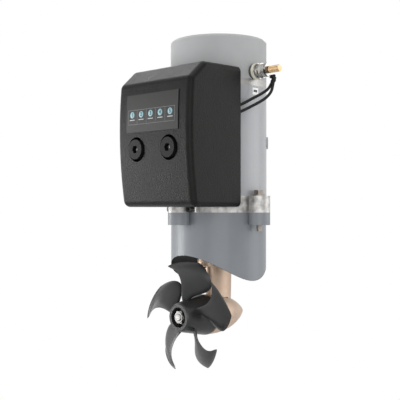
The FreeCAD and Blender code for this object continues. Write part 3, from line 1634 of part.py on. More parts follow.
def make_propeller_shaft():
    """The propeller shaft, stepped down to its thread and drilled for the drive pin."""
    journal = "propeller_shaft_dia / 2"
    front = "hub_web_front"
    shaft = turned(
        [
            ("0", "-nose_bush_back"),
            (f"{journal} - shaft_gap", "-nose_bush_back"),
            (f"{journal} - shaft_gap", "0"),
            (journal, "0"),
            (journal, "gear_hub_back + 0.2"),
            (f"{journal} - shaft_gap", "gear_hub_back + 0.2"),
            (f"{journal} - shaft_gap", f"{front} - 0.3"),
            ("stud_dia / 2", f"{front} - 0.3"),
            ("stud_dia / 2", "shaft_reach - 0.8"),
            ("stud_dia / 2 - 0.8", "shaft_reach"),
            ("0", "shaft_reach"),
        ],
        AHEAD,
    )
    pin = rod("pin_dia", ("-pin_length / 2", "hub_web_back + pin_dia / 2", "0"), "pin_length", SIDEWAYS)
    return keep(cut(shaft, pin), "propeller_shaft")


def make_drive_pin():
    """The shear pin that drives the hub."""
    return keep(
        rod("pin_dia", ("-pin_length / 2", "hub_web_back + pin_dia / 2", "0"), "pin_length", SIDEWAYS),
        "drive_pin",
    )


def make_propeller_washer():
    """The washer under the propeller nut."""
    return keep(
        ring("stud_dia", "hub_recess_dia - 4", "hub_web_front", "hub_web_front + washer_thickness", AHEAD),
        "propeller_washer",
    )


def make_propeller_nut():
    """The locking nut: a hexagon with a plain collar round its insert."""
    foot = "hub_web_front + washer_thickness"
    body = hexagon("stud_across", ("0", foot, "0"), "stud_nut", AHEAD)
    collar = rod(
        "stud_across - 1", ("0", f"{foot} + stud_nut - 1", "0"), f"nut_reach - ({foot} + stud_nut - 1)",
        AHEAD,
    )
    hole = rod("stud_dia", ("0", f"{foot} - 1", "0"), "nut_reach", AHEAD)
    return keep(cut(fuse(body, collar), hole), "propeller_nut")


# Propeller

BLADE_STATIONS = (0, 0.2, 0.4, 0.6, 0.8, 1.0)
BLADE_STEPS = 8


# Blade edges in degrees and blade middle in millimetres, as polynomials of the way from BLADE_START
# to the tip
BLADE_START = 18.0
BLADE_LEADING = (129.3, 33.5, -36.7, -6.6)
BLADE_TRAILING = (141.7, 172.4, -214.4, 55.6)
BLADE_MIDDLE = (41.9, 15.0, -16.5)
ROOT_FLARE = 14.0
ROOT_SLOPE = 60.0


def curve_at(terms, spot):
    """A polynomial, its terms from the constant up, at one spot."""
    return sum(term * spot**power for power, term in enumerate(terms))


def blade_station(share):
    """Radius, leading and trailing angles, and the axial place of one blade section.

    Angles run about the propeller axis from straight up towards the side of the stud.
    """
    root = value("hub_recess_dia") / 2 + 1.5
    tip = value("propeller_dia") / 2
    radius = root + (tip - root) * share
    grown = (radius - BLADE_START) / (tip - BLADE_START)
    middle = curve_at(BLADE_MIDDLE, grown)
    if grown < 0:
        return radius, BLADE_LEADING[0], BLADE_TRAILING[0] + ROOT_FLARE + ROOT_SLOPE * grown, middle
    return radius, curve_at(BLADE_LEADING, grown), curve_at(BLADE_TRAILING, grown), middle


def blade_section(share):
    """Points of one blade section on a cylinder about +Z: its back and its face, edge to edge."""
    radius, leading, trailing, middle = blade_station(share)
    pitch = value("blade_pitch")
    thick = value("blade_root") + (value("blade_tip") - value("blade_root")) * share
    chord = math.radians(trailing - leading) * radius
    slope = math.atan2(pitch / 360.0 * (trailing - leading), chord)
    sides = ([], [])
    for side, sign in enumerate((1, -1)):
        for i in range(BLADE_STEPS + 1):
            along = i / BLADE_STEPS
            swell = 4 * along * (1 - along)
            offset = 0.035 * chord * swell + sign * thick / 2 * math.sqrt(swell)
            turn = math.radians(leading + (trailing - leading) * along) + offset * math.sin(slope) / radius
            ahead = middle + pitch / 360.0 * (160.0 - leading - (trailing - leading) * along)
            ahead += offset * math.cos(slope)
            sides[side].append(Vector(radius * math.sin(turn), radius * math.cos(turn), ahead))
    return sides


def make_blade_shape():
    """One blade: a smooth back and face that meet at both edges, closed at root and tip."""
    wires = []
    for share in BLADE_STATIONS:
        edges = []
        for points in blade_section(share):
            curve = Part.BSplineCurve()
            curve.interpolate(points)
            edges.append(curve.toShape())
        wires.append(Part.Wire(edges))
    skin = Part.makeLoft(wires, False, False)
    ends = [Part.makeRuledSurface(*wire.Edges) for wire in (wires[0], wires[-1])]
    shell = Part.makeShell(skin.Faces + ends)
    shell.sewShape()
    solid = Part.makeSolid(shell)
    if solid.Volume < 0:
        solid.reverse()
    return solid


def make_propeller():
    """Hub and five swept blades, with a recess for the nut and a hollow over the bearing carrier."""
    blade_shape = make_blade_shape()
    blades = []
    count = int(value("blade_count"))
    for i in range(count):
        blade = DOC.addObject("Part::Feature", "blade")
        blade.Shape = blade_shape
        turn = AHEAD.multiply(Rotation(Vector(0, 0, 1), 360.0 / count * i))
        blade.Placement = Placement(Vector(0, 0, 0), turn)
        blades.append(blade)
    rim = "hub_front_dia / 2"
    hub = turned(
        [
            ("0", "hub_back"),
            ("hub_back_dia / 2", "hub_back"),
            ("hub_back_dia / 2", "hub_back + 2"),
            (f"{rim} + 1.6", "hub_front - 5"),
            (f"{rim} + 0.6", "hub_front - 1.6"),
            (f"{rim} - 0.8", "hub_front"),
            ("0", "hub_front"),
        ],
        AHEAD,
    )
    hollow = rod("hub_hollow_dia", ("0", "hub_back - 30", "0"), "hub_web_back + 30 - hub_back", AHEAD)
    bore = rod("propeller_shaft_dia", ("0", "hub_back", "0"), "hub_front", AHEAD)
    recess = rod("hub_recess_dia", ("0", "hub_web_front", "0"), "hub_front", AHEAD)
    slot = block(("-pin_length / 2 - 0.5", "pin_length / 2 + 0.5"), ("hub_back", "hub_web_back + pin_dia"),
                 ("-pin_dia / 2", "pin_dia / 2"))
    return keep(cut(fuse(hub, *blades), hollow, bore, recess, slot), "propeller")


def build():
    """Makes every piece."""
    make_motor_bracket()
    make_motor_flange()
    make_motor_bolts()
    make_motor_yoke()
    make_pole_shoes()
    make_field_coils()
    make_pole_screws()
    make_end_cap_ring()
    make_motor_end_cap()
    make_tie_bolts()
    bearing(
        "lower_bearing_bore", "lower_bearing_outer", lower_bearing_foot, "lower_bearing_width", UP,
        "drive_end_bearing",
    )
    bearing(
        "upper_bearing_bore", "upper_bearing_outer", f"{upper_bearing_top} - upper_bearing_width",
        "upper_bearing_width", UP, "cap_bearing",
    )
    make_brush_holder()
    make_brushes()
    make_brush_springs()
    make_stud_insulator()
    make_stud_gasket()
    make_battery_stud()
    make_stud_washers()
    make_stud_nuts()
    make_ring_terminals()
    make_lead("sense_lead_upper", UPPER_LEAD)
    make_lead("sense_lead_lower", LOWER_LEAD)
    make_control_box_cover()
    make_front_panel()
    make_cover_screws()
    make_control_box_base()
    make_base_bracket()
    make_base_screws()
    make_contactors()
    make_contactor_plunger(contactor_sides[0], "contactor_plunger_left")
    make_contactor_plunger(contactor_sides[1], "contactor_plunger_right")
    make_contactor_terminals()
    make_bus_bar()
    make_controller_board()
    make_gear_leg()
    make_leg_bolts()
    bearing(
        "leg_bearing_bore", "leg_bearing_outer", "leg_bearing_foot", "leg_bearing_width", UP, "leg_bearing"
    )
    seal(
        "drive_shaft_dia", "leg_bearing_outer", "leg_bearing_foot + leg_bearing_width + 1",
        "leg_seal_width", UP, "leg_seal",
    )
    keep(
        ring("drive_shaft_dia", "needle_outer", "needle_foot", "needle_foot + needle_width"),
        "needle_bearing",
    )
    make_bearing_carrier()
    bearing(
        "propeller_shaft_dia", "propeller_bearing_outer", "propeller_bearing_back",
        "propeller_bearing_width", AHEAD, "propeller_bearing",
    )
    seal(
        "propeller_shaft_dia",
        "propeller_bearing_outer",
        "propeller_bearing_back + propeller_bearing_width + 1",
        "propeller_seal_width",
        AHEAD,
        "propeller_seal",
    )
    keep(
        ring(
            "propeller_shaft_dia", "nose_bush_outer", "-nose_bush_back",
            "-nose_bush_back + nose_bush_length", AHEAD,
        ),
        "nose_bush",
    )
    make_armature_shaft()
    make_armature_core()
    make_armature_windings()
    make_commutator()
    make_motor_coupling()
    make_coupling_spider()
    make_leg_coupling()
    make_drive_shaft()
    make_bevel_pinion()
    make_bevel_gear()
    make_propeller_shaft()
    make_drive_pin()
    make_propeller()
    make_propeller_washer()
    make_propeller_nut()


def write():
    """Checks every object and piece, then writes one STEP file for each piece."""
    DOC.recompute()
    faults = [item.Label for item in DOC.Objects if {"Invalid", "Error"} & set(item.State)]
    for item in PIECES:
        if item.Shape.isNull() or not item.Shape.isValid():
            faults.append(f"{item.Label} shape")
    if faults:
        raise RuntimeError(f"failed: {faults}")
    os.makedirs("parts", exist_ok=True)
    for item in PIECES:
        item.Shape.exportStep(f"parts/{item.Label}.step")
    print(len(PIECES), "pieces,", sum(len(item.Shape.Solids) for item in PIECES), "solids")


build()
write()
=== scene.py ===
"""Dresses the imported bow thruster: its finishes, its small fittings, the studio and the camera.

Lengths are metres in the thruster's own frame: +Z up along the drive shaft, -Y the way the
propeller faces, +X the side of the battery stud.
"""

import logging
import math
from dataclasses import dataclass
from enum import Enum

import bpy
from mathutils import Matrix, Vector

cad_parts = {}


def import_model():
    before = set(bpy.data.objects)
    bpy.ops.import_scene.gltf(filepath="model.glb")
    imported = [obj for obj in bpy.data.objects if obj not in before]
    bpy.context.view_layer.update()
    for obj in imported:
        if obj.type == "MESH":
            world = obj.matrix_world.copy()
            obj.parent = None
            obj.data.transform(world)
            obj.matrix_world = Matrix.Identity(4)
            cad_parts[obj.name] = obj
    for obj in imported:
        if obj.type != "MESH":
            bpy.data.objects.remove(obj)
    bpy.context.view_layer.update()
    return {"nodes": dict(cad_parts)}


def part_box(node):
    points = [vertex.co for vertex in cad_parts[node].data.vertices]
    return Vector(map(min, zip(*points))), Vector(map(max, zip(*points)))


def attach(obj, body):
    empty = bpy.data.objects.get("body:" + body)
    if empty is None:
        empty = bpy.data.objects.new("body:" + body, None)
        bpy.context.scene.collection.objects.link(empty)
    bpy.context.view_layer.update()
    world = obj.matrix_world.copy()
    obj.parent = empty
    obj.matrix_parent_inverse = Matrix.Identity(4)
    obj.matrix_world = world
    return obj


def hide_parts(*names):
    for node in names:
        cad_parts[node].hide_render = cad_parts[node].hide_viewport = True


Colour = tuple[float, float, float]
Point = tuple[float, float, float]
Piece = bpy.types.Object
Tree = bpy.types.NodeTree
Socket = bpy.types.NodeSocket

LOG = logging.getLogger("bow_thruster")

MM = 0.001
# Points closer than this are one point.
WELD = 1e-6
# Sides of a small round piece, segments of its bevel, and the steps of a curved patch.
ROUND_SIDES = 48
BEVEL_SEGMENTS = 2
PATCH_STEPS = 12
# Faces that meet at less than this angle are shaded as one surface.
SMOOTH_ANGLE = math.radians(40)
# Euler angles of a piece that stands upright, and of one whose own Z points along +X.
UPRIGHT = (0.0, 0.0, 0.0)
ALONG_X = (0.0, math.pi / 2, 0.0)


# Shader nodes


def new_material(name: str) -> tuple[bpy.types.Material, Tree]:
    """Makes a material with a Principled shader.

    Args:
        name: The material's name.

    Returns:
        The material and its node tree.
    """
    made = bpy.data.materials.new(name)
    made.use_nodes = True
    return made, made.node_tree


def object_place(tree: Tree) -> Socket:
    """Adds the Object coordinates to a node tree."""
    return tree.nodes.new("ShaderNodeTexCoord").outputs["Object"]


def calculate(tree: Tree, operation: str, one: Socket, two: Socket | float) -> Socket:
    """Adds a calculation with two values.

    Args:
        tree: The node tree.
        operation: Blender's name of the calculation.
        one: The first value.
        two: The second value, or a plain number.

    Returns:
        The result.
    """
    node = tree.nodes.new("ShaderNodeMath")
    node.operation = operation
    tree.links.new(one, node.inputs[0])
    if isinstance(two, float):
        node.inputs[1].default_value = two
    else:
        tree.links.new(two, node.inputs[1])
    return node.outputs[0]


def distance(tree: Tree, axes: Point) -> Socket:
    """Adds the distance from the frame's origin along some of the axes.

    Args:
        tree: The node tree.
        axes: 1 for each axis that counts and 0 for each that doesn't.

    Returns:
        The distance in metres.
    """
    flat = tree.nodes.new("ShaderNodeVectorMath")
    flat.operation = "MULTIPLY"
    flat.inputs[1].default_value = axes
    reach = tree.nodes.new("ShaderNodeVectorMath")
    reach.operation = "LENGTH"
    tree.links.new(object_place(tree), flat.inputs[0])
    tree.links.new(flat.outputs["Vector"], reach.inputs[0])
    return reach.outputs["Value"]


def show_mix(tree: Tree, share: Socket, first: Socket, second: Socket) -> None:
    """Ends a material in a mix of two shaders.

    Args:
        tree: The material's node tree.
        share: How much of the second shader shows, from 0 to 1.
        first: The first shader.
        second: The second shader.
    """
    mix = tree.nodes.new("ShaderNodeMixShader")
    tree.links.new(share, mix.inputs["Fac"])
    tree.links.new(first, mix.inputs[1])
    tree.links.new(second, mix.inputs[2])
    tree.links.new(mix.outputs["Shader"], tree.nodes["Material Output"].inputs["Surface"])


# Finishes

# Finer layers in the noise of the broad stains, of the fine relief and of a casting's lumps.
STAIN_LAYERS = 4.0
FINE_LAYERS = 3.0
LUMP_LAYERS = 2.0
# A casting's lumps are this many grains wide.
LUMP_GRAINS = 4
# Where the stains run from the first shade to the second.
STAIN_EDGES = (0.3, 0.7)
CAST_STAIN_EDGES = (0.36, 0.64)
# What the sum of two noises mostly lies between, and how far roughness may go.
NOISE_SUM = (0.6, 1.4)
ROUGH_LIMITS = (0.02, 1.0)
# Length of one band of the wave texture at a scale of 1, and how far turned marks wander.
BAND_LENGTH = 0.314
TURNED_WANDER = 0.4


class Grain(Enum):
    """The relief that a finish carries besides its fine noise."""

    SMOOTH = "smooth"
    MOULDED = "moulded"
    CAST = "cast"
    TURNED = "turned"
    THREADED = "threaded"


@dataclass(frozen=True)
class Finish:
    """One finish of the thruster, made as a procedural material on Object coordinates.

    The shades are linear colours. Spot and grain are the sizes of the broad stains and of the
    fine relief in metres, and relief is the height of that relief in metres.
    """

    name: str
    shade: Colour
    second: Colour
    rough: float
    metal: float = 0.0
    spot: float = 0.03
    grain: float = 0.0008
    relief: float = 0.00002
    rough_spread: float = 0.08
    specular: float = 0.5
    coat: float = 0.0
    texture: Grain = Grain.SMOOTH
    pitch: float = 0.001

    def material(self) -> bpy.types.Material:
        """Builds the finish's material.

        Returns:
            A material whose colour, roughness and relief come from noise on Object coordinates.
        """
        made, tree = new_material(self.name)
        self.wire(tree, tree.nodes["Principled BSDF"])
        return made

    def wire(self, tree: Tree, shader: bpy.types.Node) -> None:
        """Wires the finish into a shader.

        Args:
            tree: The material's node tree.
            shader: The Principled shader that gets the finish.
        """
        shader.inputs["Metallic"].default_value = self.metal
        shader.inputs["Specular IOR Level"].default_value = self.specular
        shader.inputs["Coat Weight"].default_value = self.coat
        place = object_place(tree)
        stain = self._noise(tree, place, self.spot, STAIN_LAYERS)
        tree.links.new(self._blend_shades(tree, stain), shader.inputs["Base Color"])
        fine = self._noise(tree, place, self.grain, FINE_LAYERS)
        tree.links.new(self._roughness(tree, stain, fine), shader.inputs["Roughness"])
        height = self._height(tree, place, fine)
        bump = tree.nodes.new("ShaderNodeBump")
        bump.inputs["Distance"].default_value = self.relief
        tree.links.new(height, bump.inputs["Height"])
        tree.links.new(bump.outputs["Normal"], shader.inputs["Normal"])

    def _noise(self, tree: Tree, place: Socket, size: float, detail: float) -> Socket:
        """Adds a noise whose features have a size.

        Args:
            tree: The material's node tree.
            place: The coordinates that the noise reads.
            size: The size of its features in metres.
            detail: How many finer layers it has.

        Returns:
            The noise's value.
        """
        noise = tree.nodes.new("ShaderNodeTexNoise")
        noise.inputs["Scale"].default_value = 1.0 / size
        noise.inputs["Detail"].default_value = detail
        tree.links.new(place, noise.inputs["Vector"])
        return noise.outputs["Fac"]

    def _blend_shades(self, tree: Tree, stain: Socket) -> Socket:
        """Runs from the first shade to the second over the stains.

        Args:
            tree: The material's node tree.
            stain: The noise that places the stains.

        Returns:
            The colour.
        """
        ramp = tree.nodes.new("ShaderNodeValToRGB")
        low, high = ramp.color_ramp.elements
        edges = CAST_STAIN_EDGES if self.texture is Grain.CAST else STAIN_EDGES
        low.position, high.position = edges
        low.color = (*self.shade, 1.0)
        high.color = (*self.second, 1.0)
        tree.links.new(stain, ramp.inputs["Fac"])
        return ramp.outputs["Color"]

    def _roughness(self, tree: Tree, stain: Socket, fine: Socket) -> Socket:
        """Spreads the roughness by the mean of the broad and the fine noise.

        Args:
            tree: The material's node tree.
            stain: The broad noise.
            fine: The fine noise.

        Returns:
            The roughness.
        """
        smoothest, roughest = ROUGH_LIMITS
        spread = tree.nodes.new("ShaderNodeMapRange")
        spread.inputs["From Min"].default_value = NOISE_SUM[0]
        spread.inputs["From Max"].default_value = NOISE_SUM[1]
        spread.inputs["To Min"].default_value = max(smoothest, self.rough - self.rough_spread)
        spread.inputs["To Max"].default_value = min(roughest, self.rough + self.rough_spread)
        tree.links.new(calculate(tree, "ADD", stain, fine), spread.inputs["Value"])
        return spread.outputs["Result"]

    def _height(self, tree: Tree, place: Socket, fine: Socket) -> Socket:
        """Adds the finish's own relief to the fine noise.

        Args:
            tree: The material's node tree.
            place: The coordinates.
            fine: The fine noise.

        Returns:
            The height for the bump.
        """
        if self.texture is Grain.MOULDED:
            pits = tree.nodes.new("ShaderNodeTexVoronoi")
            pits.inputs["Scale"].default_value = 1.0 / self.grain
            tree.links.new(place, pits.inputs["Vector"])
            return calculate(tree, "ADD", fine, pits.outputs["Distance"])
        if self.texture is Grain.CAST:
            lumps = self._noise(tree, place, self.grain * LUMP_GRAINS, LUMP_LAYERS)
            return calculate(tree, "ADD", fine, lumps)
        if self.texture in (Grain.TURNED, Grain.THREADED):
            wave = tree.nodes.new("ShaderNodeTexWave")
            wave.bands_direction = "Z"
            wander = TURNED_WANDER if self.texture is Grain.TURNED else 0.0
            wave.inputs["Scale"].default_value = BAND_LENGTH / self.pitch
            wave.inputs["Distortion"].default_value = wander
            tree.links.new(place, wave.inputs["Vector"])
            return calculate(tree, "ADD", fine, wave.outputs["Fac"])
        return fine


class Parting(Enum):
    """The measure that parts one piece's two finishes."""

    HEIGHT = "height along Z"
    REACH = "distance from the tunnel's axis"


@dataclass(frozen=True)
class PartedFinish:
    """Two finishes on one piece: the inner up to a limit in metres, the outer beyond it."""

    name: str
    inner: Finish
    outer: Finish
    parting: Parting
    limit: float

    def material(self) -> bpy.types.Material:
        """Builds the material.

        Returns:
            A material that changes from the inner finish to the outer one at the limit.
        """
        made, tree = new_material(self.name)
        beyond = tree.nodes["Principled BSDF"]
        within = tree.nodes.new("ShaderNodeBsdfPrincipled")
        self.outer.wire(tree, beyond)
        self.inner.wire(tree, within)
        passed = calculate(tree, "GREATER_THAN", self._measure(tree), self.limit)
        show_mix(tree, passed, within.outputs["BSDF"], beyond.outputs["BSDF"])
        return made

    def _measure(self, tree: Tree) -> Socket:
        """Adds the measure that the limit applies to.

        Args:
            tree: The material's node tree.

        Returns:
            The height, or the distance from the tunnel's axis.
        """
        if self.parting is Parting.REACH:
            return distance(tree, (1.0, 0.0, 1.0))
        parts = tree.nodes.new("ShaderNodeSeparateXYZ")
        tree.links.new(object_place(tree), parts.inputs[0])
        return parts.outputs["Z"]


AnyFinish = Finish | PartedFinish

BRACKET_PAINT = Finish("bracket_paint", (0.185, 0.2, 0.218), (0.203, 0.218, 0.236), 0.42, coat=0.1)
MOTOR_PAINT = Finish("motor_paint", (0.35, 0.362, 0.38), (0.375, 0.385, 0.4), 0.36, coat=0.15)
CAP_PAINT = Finish("cap_paint", (0.405, 0.41, 0.415), (0.43, 0.435, 0.44), 0.5, specular=0.22)
FLANGE_CASTING = Finish(
    "flange_casting", (0.31, 0.305, 0.295), (0.56, 0.55, 0.535), 0.44,
    metal=0.7, spot=0.006, grain=0.0012, relief=0.00015, rough_spread=0.14, texture=Grain.CAST,
)
MACHINED_STEEL = Finish(
    "machined_steel", (0.33, 0.325, 0.315), (0.43, 0.42, 0.405), 0.42,
    metal=0.85, spot=0.012, texture=Grain.TURNED, pitch=0.0004,
)
ZINC_STEEL = Finish(
    "zinc_steel", (0.4, 0.39, 0.375), (0.54, 0.53, 0.51), 0.24,
    metal=1.0, spot=0.004,
)
BOLT_STEEL = Finish(
    "bolt_steel", (0.3, 0.27, 0.24), (0.44, 0.4, 0.36), 0.34,
    metal=1.0, spot=0.004, relief=0.0002, texture=Grain.THREADED, pitch=0.001,
)
BLACK_STEEL = Finish(
    "black_steel", (0.03, 0.03, 0.032), (0.06, 0.06, 0.06), 0.35,
    metal=0.6, spot=0.004,
)
IRON = Finish(
    "iron", (0.16, 0.16, 0.165), (0.24, 0.23, 0.23), 0.5,
    metal=0.8, spot=0.01, texture=Grain.CAST,
)
COPPER = Finish("copper", (0.5, 0.2, 0.1), (0.66, 0.32, 0.18), 0.35, metal=1.0, spot=0.008)
BRASS = Finish("brass", (0.42, 0.28, 0.15), (0.56, 0.4, 0.24), 0.26, metal=1.0, spot=0.004)
TINNED_COPPER = Finish(
    "tinned_copper", (0.3, 0.3, 0.29), (0.42, 0.42, 0.4), 0.32,
    metal=1.0, spot=0.004,
)
PHENOLIC = Finish("phenolic", (0.06, 0.03, 0.015), (0.1, 0.05, 0.025), 0.45, spot=0.01)
CARBON = Finish("carbon", (0.02, 0.02, 0.02), (0.04, 0.04, 0.04), 0.7, spot=0.004)
CREAM_PLASTIC = Finish("cream_plastic", (0.68, 0.66, 0.54), (0.76, 0.74, 0.62), 0.4, spot=0.008)
BLACK_RUBBER = Finish(
    "black_rubber", (0.003, 0.003, 0.003), (0.006, 0.006, 0.006), 0.4,
    spot=0.006, specular=0.22,
)
GASKET_RUBBER = Finish(
    "gasket_rubber", (0.06, 0.06, 0.06), (0.09, 0.09, 0.09), 0.5,
    spot=0.006, specular=0.3,
)
# Near-black finish for the bracket's saddle face: painted shade for the shadow inside the hollow
# saddle.
SADDLE_PAINTED_SHADE = Finish(
    "saddle_painted_shade", (0.003, 0.003, 0.003), (0.006, 0.006, 0.006), 0.7,
    spot=0.01, specular=0.1,
)
COVER_PLASTIC = Finish(
    "cover_plastic", (0.006, 0.006, 0.0056), (0.0105, 0.0105, 0.01), 0.32,
    spot=0.02, grain=0.0013, relief=0.00015, specular=0.11, texture=Grain.MOULDED,
)
PANEL_FILM = Finish(
    "panel_film", (0.024, 0.024, 0.023), (0.028, 0.028, 0.027), 0.38,
    spot=0.03, grain=0.0005, specular=0.2,
)
KNOB_PLASTIC = Finish(
    "knob_plastic", (0.007, 0.007, 0.007), (0.01, 0.01, 0.01), 0.4,
    spot=0.008, relief=0.00003, specular=0.1, texture=Grain.MOULDED,
)
CONTACTOR_CAN = Finish(
    "contactor_can", (0.04, 0.04, 0.045), (0.06, 0.06, 0.065), 0.4,
    metal=0.3, spot=0.01,
)
BOARD_GREEN = Finish("board_green", (0.008, 0.07, 0.025), (0.012, 0.1, 0.04), 0.35, spot=0.01)
BRONZE_CASTING = Finish(
    "bronze_casting", (0.44, 0.32, 0.24), (0.54, 0.41, 0.31), 0.42,
    metal=0.6, spot=0.02, grain=0.0009, relief=0.00008, rough_spread=0.1, texture=Grain.CAST,
)
PROPELLER_PLASTIC = Finish(
    "propeller_plastic", (0.02, 0.0205, 0.0205), (0.03, 0.0305, 0.0305), 0.32,
    spot=0.03, grain=0.0006, relief=0.00003, specular=0.35, texture=Grain.MOULDED,
)
NUT_STEEL = Finish(
    "nut_steel", (0.2, 0.195, 0.19), (0.3, 0.295, 0.29), 0.38,
    metal=1.0, spot=0.004,
)
DISC_BLUE = Finish("disc_blue", (0.22, 0.4, 0.45), (0.26, 0.45, 0.5), 0.4, spot=0.002)
MARK_DARK = Finish(
    "mark_dark", (0.008, 0.016, 0.02), (0.012, 0.022, 0.027), 0.45,
    spot=0.002, specular=0.2,
)
RULE_GREY = Finish("rule_grey", (0.12, 0.123, 0.123), (0.15, 0.153, 0.153), 0.45, spot=0.004)
RULE_PALE = Finish("rule_pale", (0.42, 0.42, 0.415), (0.5, 0.5, 0.495), 0.45, spot=0.004)
LABEL_WHITE = Finish("label_white", (0.95, 0.95, 0.95), (0.98, 0.98, 0.98), 0.4, spot=0.003)
LABEL_BLACK = Finish("label_black", (0.005, 0.005, 0.005), (0.012, 0.012, 0.012), 0.4, spot=0.003)

SLEEVED_TERMINALS = PartedFinish(
    "sleeved_terminals",
    inner=BLACK_RUBBER, outer=TINNED_COPPER, parting=Parting.HEIGHT, limit=0.2715,
)
# The motor bracket: painted shade, near black, on the saddle face within the limit from the
# tunnel's axis, and the bracket paint beyond it.
BRACKET_WITH_PAINTED_SHADE = PartedFinish(
    "bracket_with_painted_shade",
    inner=SADDLE_PAINTED_SHADE, outer=BRACKET_PAINT, parting=Parting.REACH, limit=0.0677,
)

NODE_FINISHES: dict[str, AnyFinish] = {
    "motor_bracket": BRACKET_WITH_PAINTED_SHADE,
    "motor_flange": FLANGE_CASTING,
    "motor_bolts": BOLT_STEEL,
    "motor_yoke": MOTOR_PAINT,
    "pole_shoes": IRON,
    "field_coils": COPPER,
    "pole_screws": MOTOR_PAINT,
    "end_cap_ring": MACHINED_STEEL,
    "motor_end_cap": CAP_PAINT,
    "tie_bolts": ZINC_STEEL,
    "drive_end_bearing": MACHINED_STEEL,
    "cap_bearing": MACHINED_STEEL,
    "brush_holder": PHENOLIC,
    "brushes": CARBON,
    "brush_springs": MACHINED_STEEL,
    "stud_insulator": CREAM_PLASTIC,
    "stud_gasket": GASKET_RUBBER,
    "battery_stud": BRASS,
    "stud_washers": ZINC_STEEL,
    "stud_nuts": ZINC_STEEL,
    "ring_terminals": SLEEVED_TERMINALS,
    "sense_lead_upper": BLACK_RUBBER,
    "sense_lead_lower": BLACK_RUBBER,
    "control_box_cover": COVER_PLASTIC,
    "front_panel": PANEL_FILM,
    "cover_screws": KNOB_PLASTIC,
    "control_box_base": COVER_PLASTIC,
    "base_bracket": ZINC_STEEL,
    "base_screws": BLACK_STEEL,
    "contactors": CONTACTOR_CAN,
    "contactor_terminals": BRASS,
    "contactor_plunger_left": IRON,
    "contactor_plunger_right": IRON,
    "bus_bar": COPPER,
    "controller_board": BOARD_GREEN,
    "gear_leg": BRONZE_CASTING,
    "leg_bolts": ZINC_STEEL,
    "leg_bearing": MACHINED_STEEL,
    "leg_seal": BLACK_RUBBER,
    "needle_bearing": MACHINED_STEEL,
    "bearing_carrier": BRONZE_CASTING,
    "propeller_bearing": MACHINED_STEEL,
    "propeller_seal": BLACK_RUBBER,
    "nose_bush": BRASS,
    "armature_shaft": MACHINED_STEEL,
    "armature_core": IRON,
    "armature_windings": COPPER,
    "commutator": COPPER,
    "motor_coupling": IRON,
    "coupling_spider": BLACK_RUBBER,
    "leg_coupling": IRON,
    "drive_shaft": MACHINED_STEEL,
    "bevel_pinion": MACHINED_STEEL,
    "bevel_gear": MACHINED_STEEL,
    "propeller_shaft": MACHINED_STEEL,
    "drive_pin": MACHINED_STEEL,
    "propeller": PROPELLER_PLASTIC,
    "propeller_washer": NUT_STEEL,
    "propeller_nut": NUT_STEEL,
}


class FinishShelf:
    """Keeps one material for each finish."""

    def __init__(self) -> None:
        """Starts with no material made."""
        self._made: dict[str, bpy.types.Material] = {}

    def put_on(self, piece: Piece, finish: AnyFinish) -> None:
        """Gives a piece one finish all over.

        Args:
            piece: The object to dress.
            finish: The finish to give it.
        """
        if finish.name not in self._made:
            self._made[finish.name] = finish.material()
        piece.data.materials.clear()
        piece.data.materials.append(self._made[finish.name])


# Tools for new pieces


def deselect() -> None:
    """Leaves object mode with nothing selected."""
    if bpy.context.object is not None and bpy.context.object.mode != "OBJECT":
        bpy.ops.object.mode_set(mode="OBJECT")
    bpy.ops.object.select_all(action="DESELECT")


def settle(piece: Piece, name: str) -> Piece:
    """Names a new piece and puts its place into its mesh.

    Args:
        piece: The piece, selected and active.
        name: The name that it gets.

    Returns:
        The same piece, at the origin.
    """
    piece.name = name
    piece.data.name = name
    bpy.ops.object.transform_apply(location=True, rotation=True, scale=True)
    return piece


def apply_modifier(piece: Piece, kind: str, **settings: object) -> None:
    """Adds a modifier and applies it.

    Args:
        piece: The piece, active in object mode.
        kind: Blender's name of the modifier.
        **settings: Its properties.
    """
    bpy.context.view_layer.objects.active = piece
    made = piece.modifiers.new(kind.lower(), kind)
    for key, setting in settings.items():
        setattr(made, key, setting)
    bpy.ops.object.modifier_apply(modifier=made.name)


def join(pieces: list[Piece], name: str) -> Piece:
    """Joins pieces into one object.

    Args:
        pieces: The pieces, of which the first takes in the others.
        name: The name of the result.

    Returns:
        The joined piece.
    """
    deselect()
    for piece in pieces:
        piece.select_set(True)
    bpy.context.view_layer.objects.active = pieces[0]
    bpy.ops.object.join()
    return settle(pieces[0], name)


def rounded_disc(radius: float, depth: float, edge: float, centre: Point, turn: Point) -> Piece:
    """Adds a flat disc with a bevelled rim.

    Args:
        radius: Its radius.
        depth: Its thickness.
        edge: The width of the bevel.
        centre: Its middle.
        turn: Its rotation as Euler angles.

    Returns:
        The disc.
    """
    deselect()
    bpy.ops.mesh.primitive_cylinder_add(
        vertices=ROUND_SIDES, radius=radius, depth=depth, location=centre, rotation=turn
    )
    disc = bpy.context.object
    apply_modifier(disc, "BEVEL", width=edge, segments=BEVEL_SEGMENTS, limit_method="ANGLE")
    bpy.ops.object.shade_smooth_by_angle(angle=SMOOTH_ANGLE)
    return disc


def slab(size: Point, edge: float, centre: Point, turn: Point) -> Piece:
    """Adds a flat bar with bevelled edges.

    Args:
        size: Its length, width and thickness.
        edge: The width of the bevel.
        centre: Its middle.
        turn: Its rotation as Euler angles.

    Returns:
        The bar.
    """
    deselect()
    bpy.ops.mesh.primitive_cube_add(size=1.0, location=centre, rotation=turn, scale=size)
    bar = bpy.context.object
    bpy.ops.object.transform_apply(location=False, rotation=False, scale=True)
    apply_modifier(bar, "BEVEL", width=edge, segments=BEVEL_SEGMENTS, limit_method="ANGLE")
    return bar


